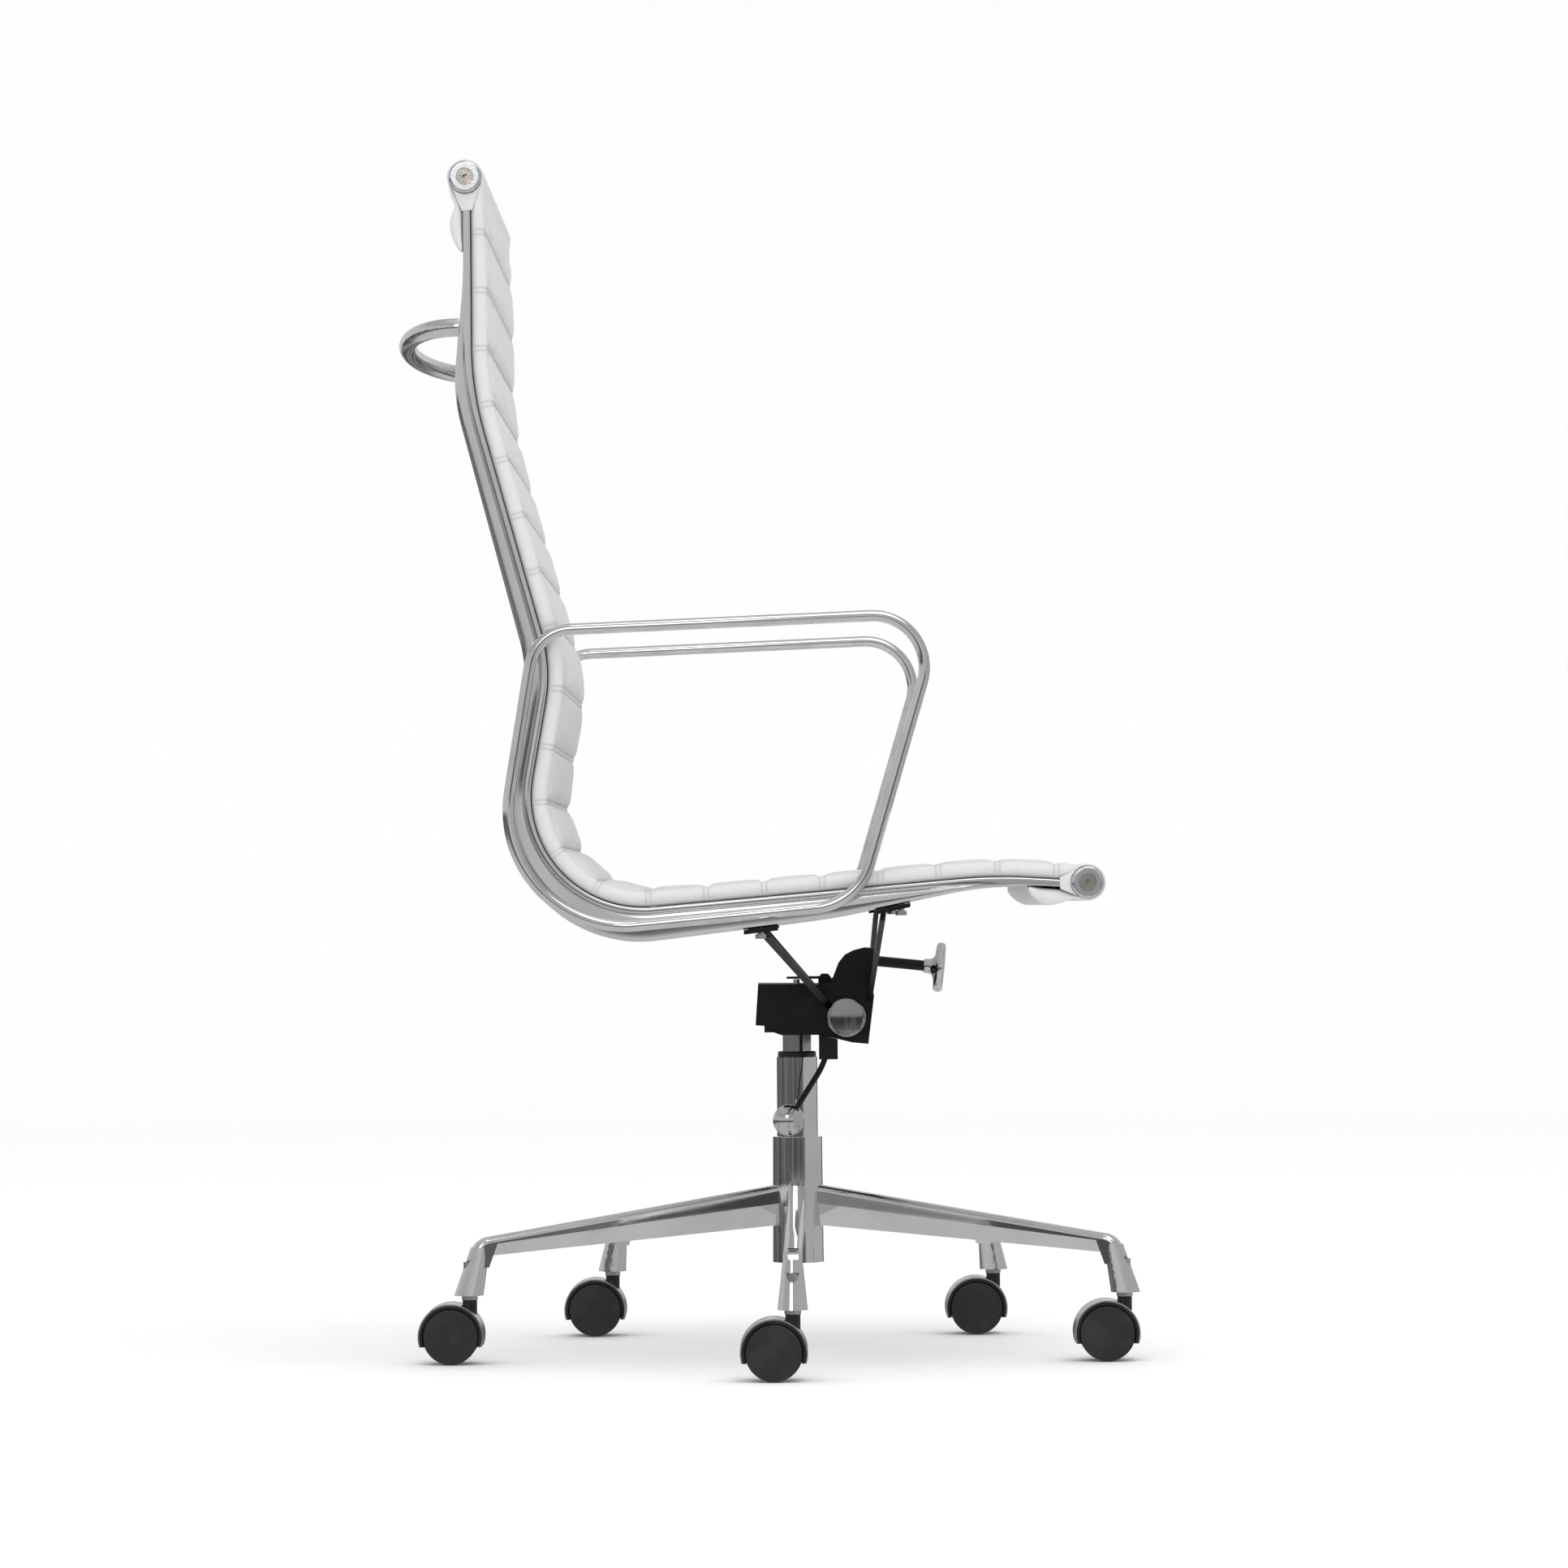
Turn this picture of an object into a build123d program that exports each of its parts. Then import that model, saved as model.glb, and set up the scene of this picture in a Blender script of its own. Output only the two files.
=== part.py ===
"""Swivel office chair: a padded leather sling between two cast side rails, closed-loop arms,
a knee-tilt mechanism, a gas lift and a five-legged base on twin-wheel casters.

Millimetres, +Z up, floor at Z 0, swivel axis at X 0, Y 0. The sitter faces -Y."""

import os
from math import cos, hypot, radians, sin, tan

from build123d import *

os.makedirs("parts", exist_ok=True)

# ---------------------------------------------------------------- driving dimensions
# Side rails, given in the side view as (forward, up).
rail_x = 245.0            # middle of a rail from the middle of the chair
rail_width = 16.0
rail_front = [(-282, 1051), (-282, 865), (-213.5, 620), (-253, 399), (173, 435), (255, 430)]
rail_front_radii = [290, 135, 98, 450]
rail_rear = [(-288.3, 1051), (-288.3, 962), (-298, 860), (-234, 619), (-280, 361.5), (35, 399),
             (150, 423), (200, 427), (255, 424)]
rail_rear_radii = [400, 145, 120, 118, 600, 300, 300]
rail_edge_round = 1.6
lip_depth = 5.2           # front bead of the rail, up to the groove
groove_width = 1.6
groove_depth = 1.2

# Rolls at both ends of the sling, (forward, up).
top_roll = (-286.0, 1051.0)
front_roll = (255.0, 429.0)
roll_radius = 16.5
bar_radius = 10.0
bar_wall = 2.0
boss_radius = 13.0
cap_radius = 14.2
cap_depth = 8.0
cap_screw_radius = 7.6
pad_depth = 17.0
membrane_depth = 2.0
slack = 0.3               # between leather and metal

# Arm loops, (forward, up).
arm_path = [(129.6, 665.8), (54.4, 411.2), (-271.4, 381.5), (-226.9, 652.2)]
arm_radii = [45, 55, 102, 38]
arm_rod_radius = 5.0
arm_screw_spots = [(-247.5, 530), (-150, 391.8), (0, 406)]

# Handle behind the back.
handle_height = 920.0
handle_reach = 58.0
handle_radius = 8.0

# Tilt mechanism, (forward, up).
pivot = (45.0, 308.5)
pivot_tube_radius = 13.0
pivot_cap_radius = 17.6
housing_half_width = 50.0
pivot_half_length = housing_half_width + 14.0
housing_wall = 3.0
housing_outline = [(-35, 339), (68, 338), (70.5, 328), (65, 284), (50, 285.5), (34, 289.5),
                   (19, 292.5), (-14, 292.5), (-21, 295), (-29.5, 295), (-29.5, 301), (-37.5, 301.5)]
yoke_plate = 5.0
yoke_outline = [(20, 312), (29, 338), (34, 344), (39, 357), (45, 364.5), (53, 368.5), (63, 371),
                (70, 371), (72, 345), (66, 312)]
bolt_start = (58.0, 360.4)
bolt_tilt = 6.0           # degrees, down towards the front
bolt_radius = 4.8
bolt_length = 60.0
knob_radius = 22.7
knob_depth = 9.0

# Gas lift, heights above the floor.
hub_bottom = 84.0
hub_top = 198.5
hub_radius = 23.0
tube_radius = 18.6
tube_bore = 15.1
tube_top = 271.5
collar_depth = 5.2
cylinder_radius = 13.0
cylinder_bore = 11.0
cylinder_bottom = 112.0
cylinder_top = 336.0
rod_radius = 5.0
rod_top = 292.0
pin_radius = 3.0
blade_pin = (26.0, 343.4)

# Five-legged base and casters.
leg_count = 5
first_leg = 179.0         # degrees; the seat rests one degree round from the base
stem_circle = 310.0
wheel_radius = 25.0
hood_radius = 29.4
hood_half_width = 23.0
caster_trail = 16.5
stem_radius = 5.5
socket_bottom = 61.0


# ---------------------------------------------------------------- helpers
def side(x):
    """Side-view plane at lateral place x: local x is forward, local y is up, normal is -X."""
    return Plane(origin=(x, 0, 0), x_dir=(0, -1, 0), z_dir=(-1, 0, 0))


def place(forward, up, x=0.0):
    """Point in the chair's frame from its side-view place."""
    return (x, -forward, up)


def shifted(chain, gap):
    """Chain of corners moved sideways by gap, towards the sitter when gap is positive."""
    steps = [(b[0] - a[0], b[1] - a[1]) for a, b in zip(chain, chain[1:])]
    normals = [(-dy / hypot(dx, dy), dx / hypot(dx, dy)) for dx, dy in steps]
    pairs = zip([normals[0]] + normals, normals + [normals[-1]])
    moved = []
    for (px, py), (a, b) in zip(chain, pairs):
        scale = gap / (1 + a[0] * b[0] + a[1] * b[1])
        moved.append((px + (a[0] + b[0]) * scale, py + (a[1] + b[1]) * scale))
    return moved


def turns_left(a, b, c):
    """True where the chain turns towards the sitter at b."""
    return (b[0] - a[0]) * (c[1] - b[1]) - (b[1] - a[1]) * (c[0] - b[0]) > 0


def shifted_radii(chain, radii, gap):
    """Corner radii of the shifted chain."""
    corners = zip(chain, chain[1:], chain[2:], radii)
    return [r - gap if turns_left(a, b, c) else r + gap for a, b, c, r in corners]


def outline(first, first_radii, second, second_radii):
    """Closed face between two chains, with the inner corners of both rounded."""
    with BuildSketch() as face:
        with BuildLine():
            Polyline(*first, *reversed(second), close=True)
        make_face()
        rounds = list(zip(first[1:-1], first_radii)) + list(zip(second[1:-1], second_radii))
        for corner, radius in rounds:
            fillet(face.vertices().sort_by_distance((*corner, 0))[0], radius=radius)
    return face.sketch


def strip(near, far, chain=rail_front, radii=rail_front_radii):
    """Band that follows the rails' front edge between two distances towards the sitter."""
    return outline(shifted(chain, near), shifted_radii(chain, radii, near),
                   shifted(chain, far), shifted_radii(chain, radii, far))


def rail_face(grow=0.0):
    """Side view of a rail, or of the room that it needs when grow is positive."""
    return outline(shifted(rail_front, grow), shifted_radii(rail_front, rail_front_radii, grow),
                   shifted(rail_rear, -grow), shifted_radii(rail_rear, rail_rear_radii, -grow))


def save(part, name):
    """Label a finished sub-part and write its file."""
    part.label = name
    export_step(part, "parts/" + name + ".step")


# ---------------------------------------------------------------- side rails
outer_face = rail_x + rail_width / 2
inner_face = rail_x - rail_width / 2
rear_foot_bolt = (-31.0, 391.2)
front_foot_bolt = (92.0, 410.9)

with BuildPart() as rail_right:
    with BuildSketch(side(-inner_face)):
        add(rail_face())
    extrude(amount=rail_width)
    long_edges = rail_right.edges().filter_by(lambda e: abs(e.center().X + rail_x) > 7.9)
    fillet(long_edges.filter_by(lambda e: e.length > 12), radius=rail_edge_round)
    with BuildSketch(side(-outer_face + groove_depth)):
        groove_line = [(-282, 950), *rail_front[1:4], (150, 433.05)]
        add(strip(-lip_depth - groove_width, -lip_depth, groove_line, rail_front_radii[:3]))
    extrude(amount=groove_depth, mode=Mode.SUBTRACT)
    with BuildSketch(side(-inner_face)):
        with Locations(top_roll, front_roll):
            Circle(boss_radius)
    extrude(amount=rail_width)
    with BuildSketch(side(-inner_face)):
        with Locations(top_roll, front_roll):
            Circle(4.1)
        with Locations(*arm_screw_spots):
            Circle(3.05)
    extrude(amount=rail_width, mode=Mode.SUBTRACT)
    for forward, up in (rear_foot_bolt, front_foot_bolt):
        with BuildSketch(Plane.XY.offset(up - 2)):
            with Locations((-rail_x, -forward)):
                Circle(3.05)
        extrude(amount=11, mode=Mode.SUBTRACT)

with BuildPart() as rail_left:
    add(mirror(rail_right.part, about=Plane.YZ))

save(rail_right.part, "rail_right")
save(rail_left.part, "rail_left")

# ---------------------------------------------------------------- arm loops
arm_x = outer_face + arm_rod_radius + 0.1
with BuildPart() as arm_right:
    with BuildLine(side(-arm_x)) as arm_line:
        Polyline(*arm_path, close=True)
        for corner, radius in zip(arm_path, arm_radii):
            spot = Vector(*place(*corner, x=-arm_x))
            fillet(arm_line.vertices().sort_by_distance(spot)[0], radius=radius)
    with BuildSketch(Plane(origin=arm_line.line @ 0, z_dir=arm_line.line % 0)):
        Circle(arm_rod_radius)
    sweep(path=arm_line.line)
    with BuildSketch(side(-outer_face)):
        with Locations(*arm_screw_spots):
            Circle(2.55)
    extrude(amount=7.5, mode=Mode.SUBTRACT)

with BuildPart() as arm_left:
    add(mirror(arm_right.part, about=Plane.YZ))

save(arm_right.part, "arm_right")
save(arm_left.part, "arm_left")

with BuildPart() as arm_screws:
    for sign in (-1, 1):
        with BuildSketch(side(sign * inner_face)):
            with Locations(*arm_screw_spots):
                Circle(5.0)
        extrude(amount=sign * 3)
        with BuildSketch(side(sign * (inner_face + 0.2))):
            with Locations(*arm_screw_spots):
                Circle(2.5)
        extrude(amount=-sign * 22)
save(arm_screws.part, "arm_screws")

# ---------------------------------------------------------------- back handle
handle_start = -293.0
with BuildPart() as back_handle:
    with BuildLine(Plane(origin=(0, -handle_start, handle_height))) as handle_line:
        EllipticalCenterArc((0, 0), rail_x, handle_reach, start_angle=0, arc_size=180)
    with BuildSketch(Plane(origin=handle_line.line @ 0, z_dir=handle_line.line % 0)):
        Circle(handle_radius)
    sweep(path=handle_line.line)
    with BuildSketch(side(-outer_face - 5)):
        add(rail_face(0.05))
    extrude(amount=-2 * (outer_face + 5), mode=Mode.SUBTRACT)

save(back_handle.part, "back_handle")

# ---------------------------------------------------------------- rolls: bars, caps and screws
for name, centre in (("top_bar", top_roll), ("front_bar", front_roll)):
    with BuildPart() as bar:
        with BuildSketch(side(inner_face - 0.1)):
            with Locations(centre):
                Circle(bar_radius)
                Circle(bar_radius - bar_wall, mode=Mode.SUBTRACT)
        extrude(amount=2 * inner_face - 0.2)
        for sign in (-1, 1):
            with BuildSketch(side(sign * (inner_face - 0.1))):
                with Locations(centre):
                    Circle(bar_radius - bar_wall)
                    Circle(4.1, mode=Mode.SUBTRACT)
            extrude(amount=sign * 24)
    save(bar.part, name)

with BuildPart() as end_caps:
    for sign in (-1, 1):
        with BuildSketch(side(sign * (outer_face + 0.1))):
            with Locations(top_roll, front_roll):
                Circle(cap_radius)
        extrude(amount=-sign * cap_depth)
    rims = end_caps.faces().filter_by(Axis.X).filter_by(lambda f: abs(f.center().X) > outer_face + 5)
    fillet(rims.edges(), radius=2.4)
    for sign in (-1, 1):
        with BuildSketch(side(sign * (outer_face + 2.6))):
            with Locations(top_roll, front_roll):
                Circle(cap_screw_radius + 0.2)
        extrude(amount=-sign * cap_depth, mode=Mode.SUBTRACT)
        with BuildSketch(side(sign * outer_face)):
            with Locations(top_roll, front_roll):
                Circle(4.2)
        extrude(amount=-sign * cap_depth, mode=Mode.SUBTRACT)

with BuildPart() as cap_screws:
    for sign in (-1, 1):
        with BuildSketch(side(sign * (outer_face + 2.7))):
            with Locations(top_roll, front_roll):
                Circle(cap_screw_radius)
                RegularPolygon(2.5, 6, mode=Mode.SUBTRACT)
        extrude(amount=-sign * 4.2)
        with BuildSketch(side(sign * (outer_face + 2.7))):
            with Locations(top_roll, front_roll):
                Circle(4.0)
        extrude(amount=sign * 36)

save(end_caps.part, "end_caps")
save(cap_screws.part, "cap_screws")

# ---------------------------------------------------------------- leather sling
# The padded front lies on the rails' front edge, closes round both rolls and is stitched
# behind them; the thin membrane is stretched between the rails under the padding.
top_tail = [(-301.5, 1048), (-297.5, 1024), (-297.5, 1006), (-288.9, 988), (-288.9, 1048)]
front_tail = [(250, 412), (219, 408), (213, 412), (203, 425), (250, 423)]
with BuildPart() as sling:
    with BuildSketch(side(outer_face - 2)):
        add(strip(slack, pad_depth))
    extrude(amount=2 * (outer_face - 2))
    with BuildSketch(side(outer_face)):
        with Locations(top_roll, front_roll):
            Circle(roll_radius)
    extrude(amount=2 * outer_face)
    with BuildSketch(side(outer_face - 2)):
        for tail in (top_tail, front_tail):
            with BuildLine():
                Polyline(*tail, close=True)
            make_face()
    extrude(amount=2 * (outer_face - 2))
    with BuildSketch(side(outer_face + 1)):
        with Locations(top_roll, front_roll):
            Circle(bar_radius + slack)
    extrude(amount=2 * (outer_face + 1), mode=Mode.SUBTRACT)
    for sign in (-1, 1):
        with BuildSketch(side(sign * (inner_face - slack))):
            add(rail_face(slack - 0.05))
            with Locations(top_roll, front_roll):
                Circle(boss_radius + slack)
        extrude(amount=-sign * (rail_width + 2), mode=Mode.SUBTRACT)

with BuildPart() as sling_membrane:
    membrane_line = [(-282, 1024), *rail_front[1:5], (230, 431.52)]
    with BuildSketch(side(inner_face - slack)):
        add(strip(-membrane_depth, 0.0, membrane_line, rail_front_radii))
    extrude(amount=2 * (inner_face - slack))

save(sling.part, "sling")
save(sling_membrane.part, "sling_membrane")

# ---------------------------------------------------------------- tilt mechanism
with BuildPart() as tilt_housing:
    with BuildSketch(side(housing_half_width)) as housing_face:
        with BuildLine():
            Polyline(*housing_outline, close=True)
        make_face()
    extrude(amount=2 * housing_half_width)
    with BuildSketch(side(housing_half_width - housing_wall)):
        add(housing_face.sketch_local)
        offset(amount=-housing_wall, kind=Kind.INTERSECTION, mode=Mode.REPLACE)
    extrude(amount=2 * (housing_half_width - housing_wall), mode=Mode.SUBTRACT)
    with BuildSketch(Plane.XY.offset(292.5)):
        Circle(cylinder_radius + 4.5)
    extrude(amount=44)
    with BuildSketch(Plane.XY.offset(290)):
        Circle(cylinder_radius + 0.06)
    extrude(amount=46.2, mode=Mode.SUBTRACT)
    with BuildSketch(Plane.XY.offset(330)):
        Circle(pin_radius + 0.3)
        with Locations((0, -3)):
            Rectangle(24, 32)
    extrude(amount=10, mode=Mode.SUBTRACT)
    with BuildSketch(side(housing_half_width + 1)):
        with Locations(pivot):
            Circle(pivot_tube_radius + 0.08)
    extrude(amount=2 * housing_half_width + 2, mode=Mode.SUBTRACT)
    for x in (-14.5, 10.5):
        with BuildSketch(side(x + 4)):
            with BuildLine():
                Polyline((20, 338), (20, 344), (23, 347.5), (29, 347.5), (32, 344), (32, 338), close=True)
            make_face()
            with Locations(blade_pin):
                Circle(1.6, mode=Mode.SUBTRACT)
        extrude(amount=4)

with BuildPart() as actuator_blade:
    with BuildSketch(side(10)):
        with BuildLine():
            Polyline((-9, 343.1), (-9, 345), (26, 345.4), (26, 343.0), close=True)
        make_face()
        with Locations(blade_pin):
            Circle(3.0)
    extrude(amount=20)
    with BuildSketch(side(14.6)):
        with Locations(blade_pin):
            Circle(1.5)
    extrude(amount=29.2)

with BuildPart() as pivot_tube:
    with BuildSketch(side(pivot_half_length)):
        with Locations(pivot):
            Circle(pivot_tube_radius)
            Circle(pivot_tube_radius - 3.5, mode=Mode.SUBTRACT)
    extrude(amount=2 * pivot_half_length)

with BuildPart() as pivot_caps:
    for sign in (-1, 1):
        with BuildSketch(side(sign * (pivot_half_length + 0.1))):
            with Locations(pivot):
                Circle(pivot_cap_radius)
        extrude(amount=-sign * 5)
        with BuildSketch(side(sign * (pivot_half_length + 0.1))):
            with Locations(pivot):
                Circle(pivot_tube_radius - 3.6)
        extrude(amount=sign * 9)
    outer = pivot_caps.faces().filter_by(Axis.X)
    outer = outer.filter_by(lambda f: abs(f.center().X) > pivot_half_length + 4)
    fillet(outer.edges(), radius=4.4)

with BuildPart() as tilt_yoke:
    for sign in (-1, 1):
        with BuildSketch(side(sign * (housing_half_width + 0.6))):
            with BuildLine():
                Polyline(*yoke_outline, close=True)
            make_face()
            with Locations(pivot):
                Circle(19)
                Circle(pivot_tube_radius + 0.02, mode=Mode.SUBTRACT)
        extrude(amount=-sign * yoke_plate)
    with BuildSketch(side(housing_half_width + 0.6)):
        with BuildLine():
            Polyline((64.5, 342), (64.5, 371), (69.5, 371), (71, 344), close=True)
        make_face()
    extrude(amount=2 * housing_half_width + 1.2)
    bolt_plane = Plane(origin=place(*bolt_start), x_dir=(1, 0, 0),
                       z_dir=(0, -cos(radians(bolt_tilt)), -sin(radians(bolt_tilt))))
    with BuildSketch(bolt_plane):
        Circle(bolt_radius + 0.08)
    extrude(amount=20, mode=Mode.SUBTRACT)

with BuildPart() as tension_bolt:
    with BuildSketch(bolt_plane):
        Circle(bolt_radius)
    extrude(amount=bolt_length)
    with BuildSketch(bolt_plane):
        Circle(bolt_radius + 2.6)
    extrude(amount=3.5)

with BuildPart() as tension_knob:
    with BuildSketch(bolt_plane.offset(bolt_length - 1)):
        Circle(6.2)
    with BuildSketch(bolt_plane.offset(bolt_length + 10)):
        Circle(8.2)
    loft()
    with BuildSketch(bolt_plane.offset(bolt_length + 9)):
        Circle(knob_radius)
    extrude(amount=knob_depth)
    fillet(tension_knob.edges().filter_by(lambda e: e.length > 6 * knob_radius), radius=2.6)
    with BuildSketch(bolt_plane.offset(bolt_length - 2)):
        Circle(bolt_radius + 0.02)
    extrude(amount=2.1, mode=Mode.SUBTRACT)

save(tilt_housing.part, "tilt_housing")
save(actuator_blade.part, "actuator_blade")
save(pivot_tube.part, "pivot_tube")
save(pivot_caps.part, "pivot_caps")
save(tilt_yoke.part, "tilt_yoke")
save(tension_bolt.part, "tension_bolt")
save(tension_knob.part, "tension_knob")

# ---------------------------------------------------------------- struts from the yoke to the rails
yoke_outer = housing_half_width + 0.6 + yoke_plate
struts = {
    "rear_struts": ((24, 325), (-31, 388.5), 6.0, rear_foot_bolt, (-46, 0.119)),
    "front_struts": ((67.5, 334), (77, 405.5), 4.6, front_foot_bolt, (70, 0.209)),
}
for name, (low, high, depth, bolt, (foot_start, slope)) in struts.items():
    rise = hypot(high[0] - low[0], high[1] - low[1])
    along = ((high[0] - low[0]) / rise, (high[1] - low[1]) / rise)
    foot_z = bolt[1] - slope * (bolt[0] - foot_start) - 0.35
    foot_length = 30.0
    with BuildPart() as strut:
        plane = Plane(origin=place(*low), x_dir=(-1, 0, 0), z_dir=(0, along[1], along[0]))
        with BuildSketch(plane.offset(-depth / 2)):
            with BuildLine():
                Polyline((yoke_outer, -11), (yoke_outer, 11), (inner_face - 20, rise),
                         (inner_face - 1, rise), (inner_face - 1, rise - 9), close=True)
            make_face()
        extrude(amount=depth)
        with BuildSketch(side(14 - inner_face)):
            with BuildLine():
                Polyline((foot_start, foot_z), (foot_start + foot_length, foot_z + slope * foot_length),
                         (foot_start + foot_length, foot_z + slope * foot_length - 4),
                         (foot_start, foot_z - 4), close=True)
            make_face()
        extrude(amount=rail_width + 13)
        with BuildSketch(Plane.XY.offset(bolt[1] - 12)):
            with Locations((-rail_x, -bolt[0])):
                Circle(3.3)
        extrude(amount=14, mode=Mode.SUBTRACT)
        mirror(about=Plane.YZ)
    save(strut.part, name)

with BuildPart() as frame_bolts:
    for bolt, slope in ((rear_foot_bolt, 0.119), (front_foot_bolt, 0.209)):
        with Locations((-rail_x, -bolt[0], bolt[1] - 9.8), (rail_x, -bolt[0], bolt[1] - 9.8)):
            Cylinder(5.0, 4.0, align=(Align.CENTER, Align.CENTER, Align.MIN))
            Cylinder(3.0, 17.0, align=(Align.CENTER, Align.CENTER, Align.MIN))
save(frame_bolts.part, "frame_bolts")

# ---------------------------------------------------------------- height lever
lever_hub = (28.5, 279.5)
lever_x = -50.0
ball_centre = Vector(-86.0, 8.0, 216.5)
with BuildPart() as lever_bracket:
    with BuildSketch(side(lever_x + 10)):
        with BuildLine():
            Polyline((20, 270.5), (20, 292.2), (34, 289.2), (37, 288.4), (37, 270.5), close=True)
        make_face()
    extrude(amount=20)
    with BuildSketch(side(lever_x + 6)):
        with Locations((28.5, 276)):
            Rectangle(20, 22)
    extrude(amount=12, mode=Mode.SUBTRACT)
    with BuildSketch(side(lever_x + 11)):
        with Locations(lever_hub):
            Circle(2.6)
    extrude(amount=22, mode=Mode.SUBTRACT)

with BuildPart() as lever_rod:
    with BuildLine() as lever_line:
        hub_point = Vector(*place(*lever_hub, x=lever_x))
        Polyline(hub_point, (lever_x, -22.0, 262.0), ball_centre)
        fillet(lever_line.vertices().sort_by_distance(Vector(lever_x, -22.0, 262.0))[0], radius=30)
    with BuildSketch(Plane(origin=lever_line.line @ 0, z_dir=lever_line.line % 0)):
        Circle(2.6)
    sweep(path=lever_line.line)
    with BuildSketch(side(lever_x + 5.7)):
        with Locations(lever_hub):
            Circle(5.0)
    extrude(amount=11.4)
    with BuildSketch(side(lever_x + 9.8)):
        with Locations(lever_hub):
            Circle(2.5)
    extrude(amount=19.6)
    with Locations(ball_centre):
        Sphere(14.2, mode=Mode.SUBTRACT)

with BuildPart() as lever_ball:
    with Locations(ball_centre):
        Sphere(14.2)

save(lever_bracket.part, "lever_bracket")
save(lever_rod.part, "lever_rod")
save(lever_ball.part, "lever_ball")

# ---------------------------------------------------------------- gas lift
with BuildPart() as gas_cylinder:
    with BuildSketch(Plane.XY.offset(cylinder_bottom)):
        Circle(cylinder_radius)
    extrude(amount=cylinder_top - cylinder_bottom)
    with BuildSketch(Plane.XY.offset(cylinder_bottom + 8)):
        Circle(cylinder_bore)
    extrude(amount=186, mode=Mode.SUBTRACT)
    with BuildSketch(Plane.XY.offset(cylinder_bottom)):
        Circle(rod_radius + 0.06)
    extrude(amount=10, mode=Mode.SUBTRACT)
    with BuildSketch(Plane.XY.offset(312)):
        Circle(pin_radius + 0.06)
    extrude(amount=30, mode=Mode.SUBTRACT)

with BuildPart() as valve_pin:
    with BuildSketch(Plane.XY.offset(316)):
        Circle(pin_radius)
    extrude(amount=342.6 - 316)

with BuildPart() as piston_rod:
    with BuildSketch(Plane.XY.offset(85)):
        Circle(rod_radius - 1)
    extrude(amount=14)
    with BuildSketch(Plane.XY.offset(98.2)):
        Circle(rod_radius)
    extrude(amount=rod_top - 98.2)
    with BuildSketch(Plane.XY.offset(rod_top - 8)):
        Circle(cylinder_bore - 0.08)
    extrude(amount=8)

with BuildPart() as rod_buffer:
    with BuildSketch(Plane.XY.offset(98.4)):
        Circle(11.5)
        Circle(rod_radius + 0.05, mode=Mode.SUBTRACT)
    extrude(amount=8)

with BuildPart() as column_tube:
    with BuildSketch(Plane.XY.offset(hub_bottom + 4.1)):
        Circle(tube_radius)
    extrude(amount=tube_top - hub_bottom - 4.1)
    with BuildSketch(Plane.XY.offset(hub_bottom + 7.1)):
        Circle(tube_bore)
    extrude(amount=200, mode=Mode.SUBTRACT)
    with BuildSketch(Plane.XY.offset(hub_bottom)):
        Circle(rod_radius - 0.9)
    extrude(amount=10, mode=Mode.SUBTRACT)

with BuildPart() as column_bushing:
    with BuildSketch(Plane.XY.offset(205)):
        Circle(tube_bore - 0.02)
        Circle(cylinder_radius + 0.06, mode=Mode.SUBTRACT)
    extrude(amount=tube_top - 205.1)

with BuildPart() as column_collar:
    with BuildSketch(Plane.XY.offset(tube_top + 0.05)):
        Circle(17.5)
        Circle(cylinder_radius + 0.3, mode=Mode.SUBTRACT)
    extrude(amount=collar_depth)
    fillet(column_collar.edges().sort_by(Axis.Z)[-2:].sort_by(SortBy.RADIUS)[-1], radius=1.5)

with BuildPart() as thrust_bearing:
    for height in (hub_bottom + 7.2, hub_bottom + 12.0):
        with BuildSketch(Plane.XY.offset(height)):
            Circle(12.5)
            Circle(rod_radius - 0.9, mode=Mode.SUBTRACT)
        extrude(amount=1.6)
    with Locations((0, 0, hub_bottom + 10.4)):
        with PolarLocations(8.5, 10):
            Sphere(1.55)

with BuildPart() as retaining_clip:
    with BuildSketch(Plane.XY.offset(hub_bottom + 2.0)):
        Circle(7.5)
        Circle(rod_radius - 0.95, mode=Mode.SUBTRACT)
        with Locations((0, 6)):
            Rectangle(4, 8, mode=Mode.SUBTRACT)
    extrude(amount=1.5)

for piece, name in ((gas_cylinder, "gas_cylinder"), (valve_pin, "valve_pin"),
                    (piston_rod, "piston_rod"), (rod_buffer, "rod_buffer"),
                    (column_tube, "column_tube"), (column_bushing, "column_bushing"),
                    (column_collar, "column_collar"), (thrust_bearing, "thrust_bearing"),
                    (retaining_clip, "retaining_clip")):
    save(piece.part, name)

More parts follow.
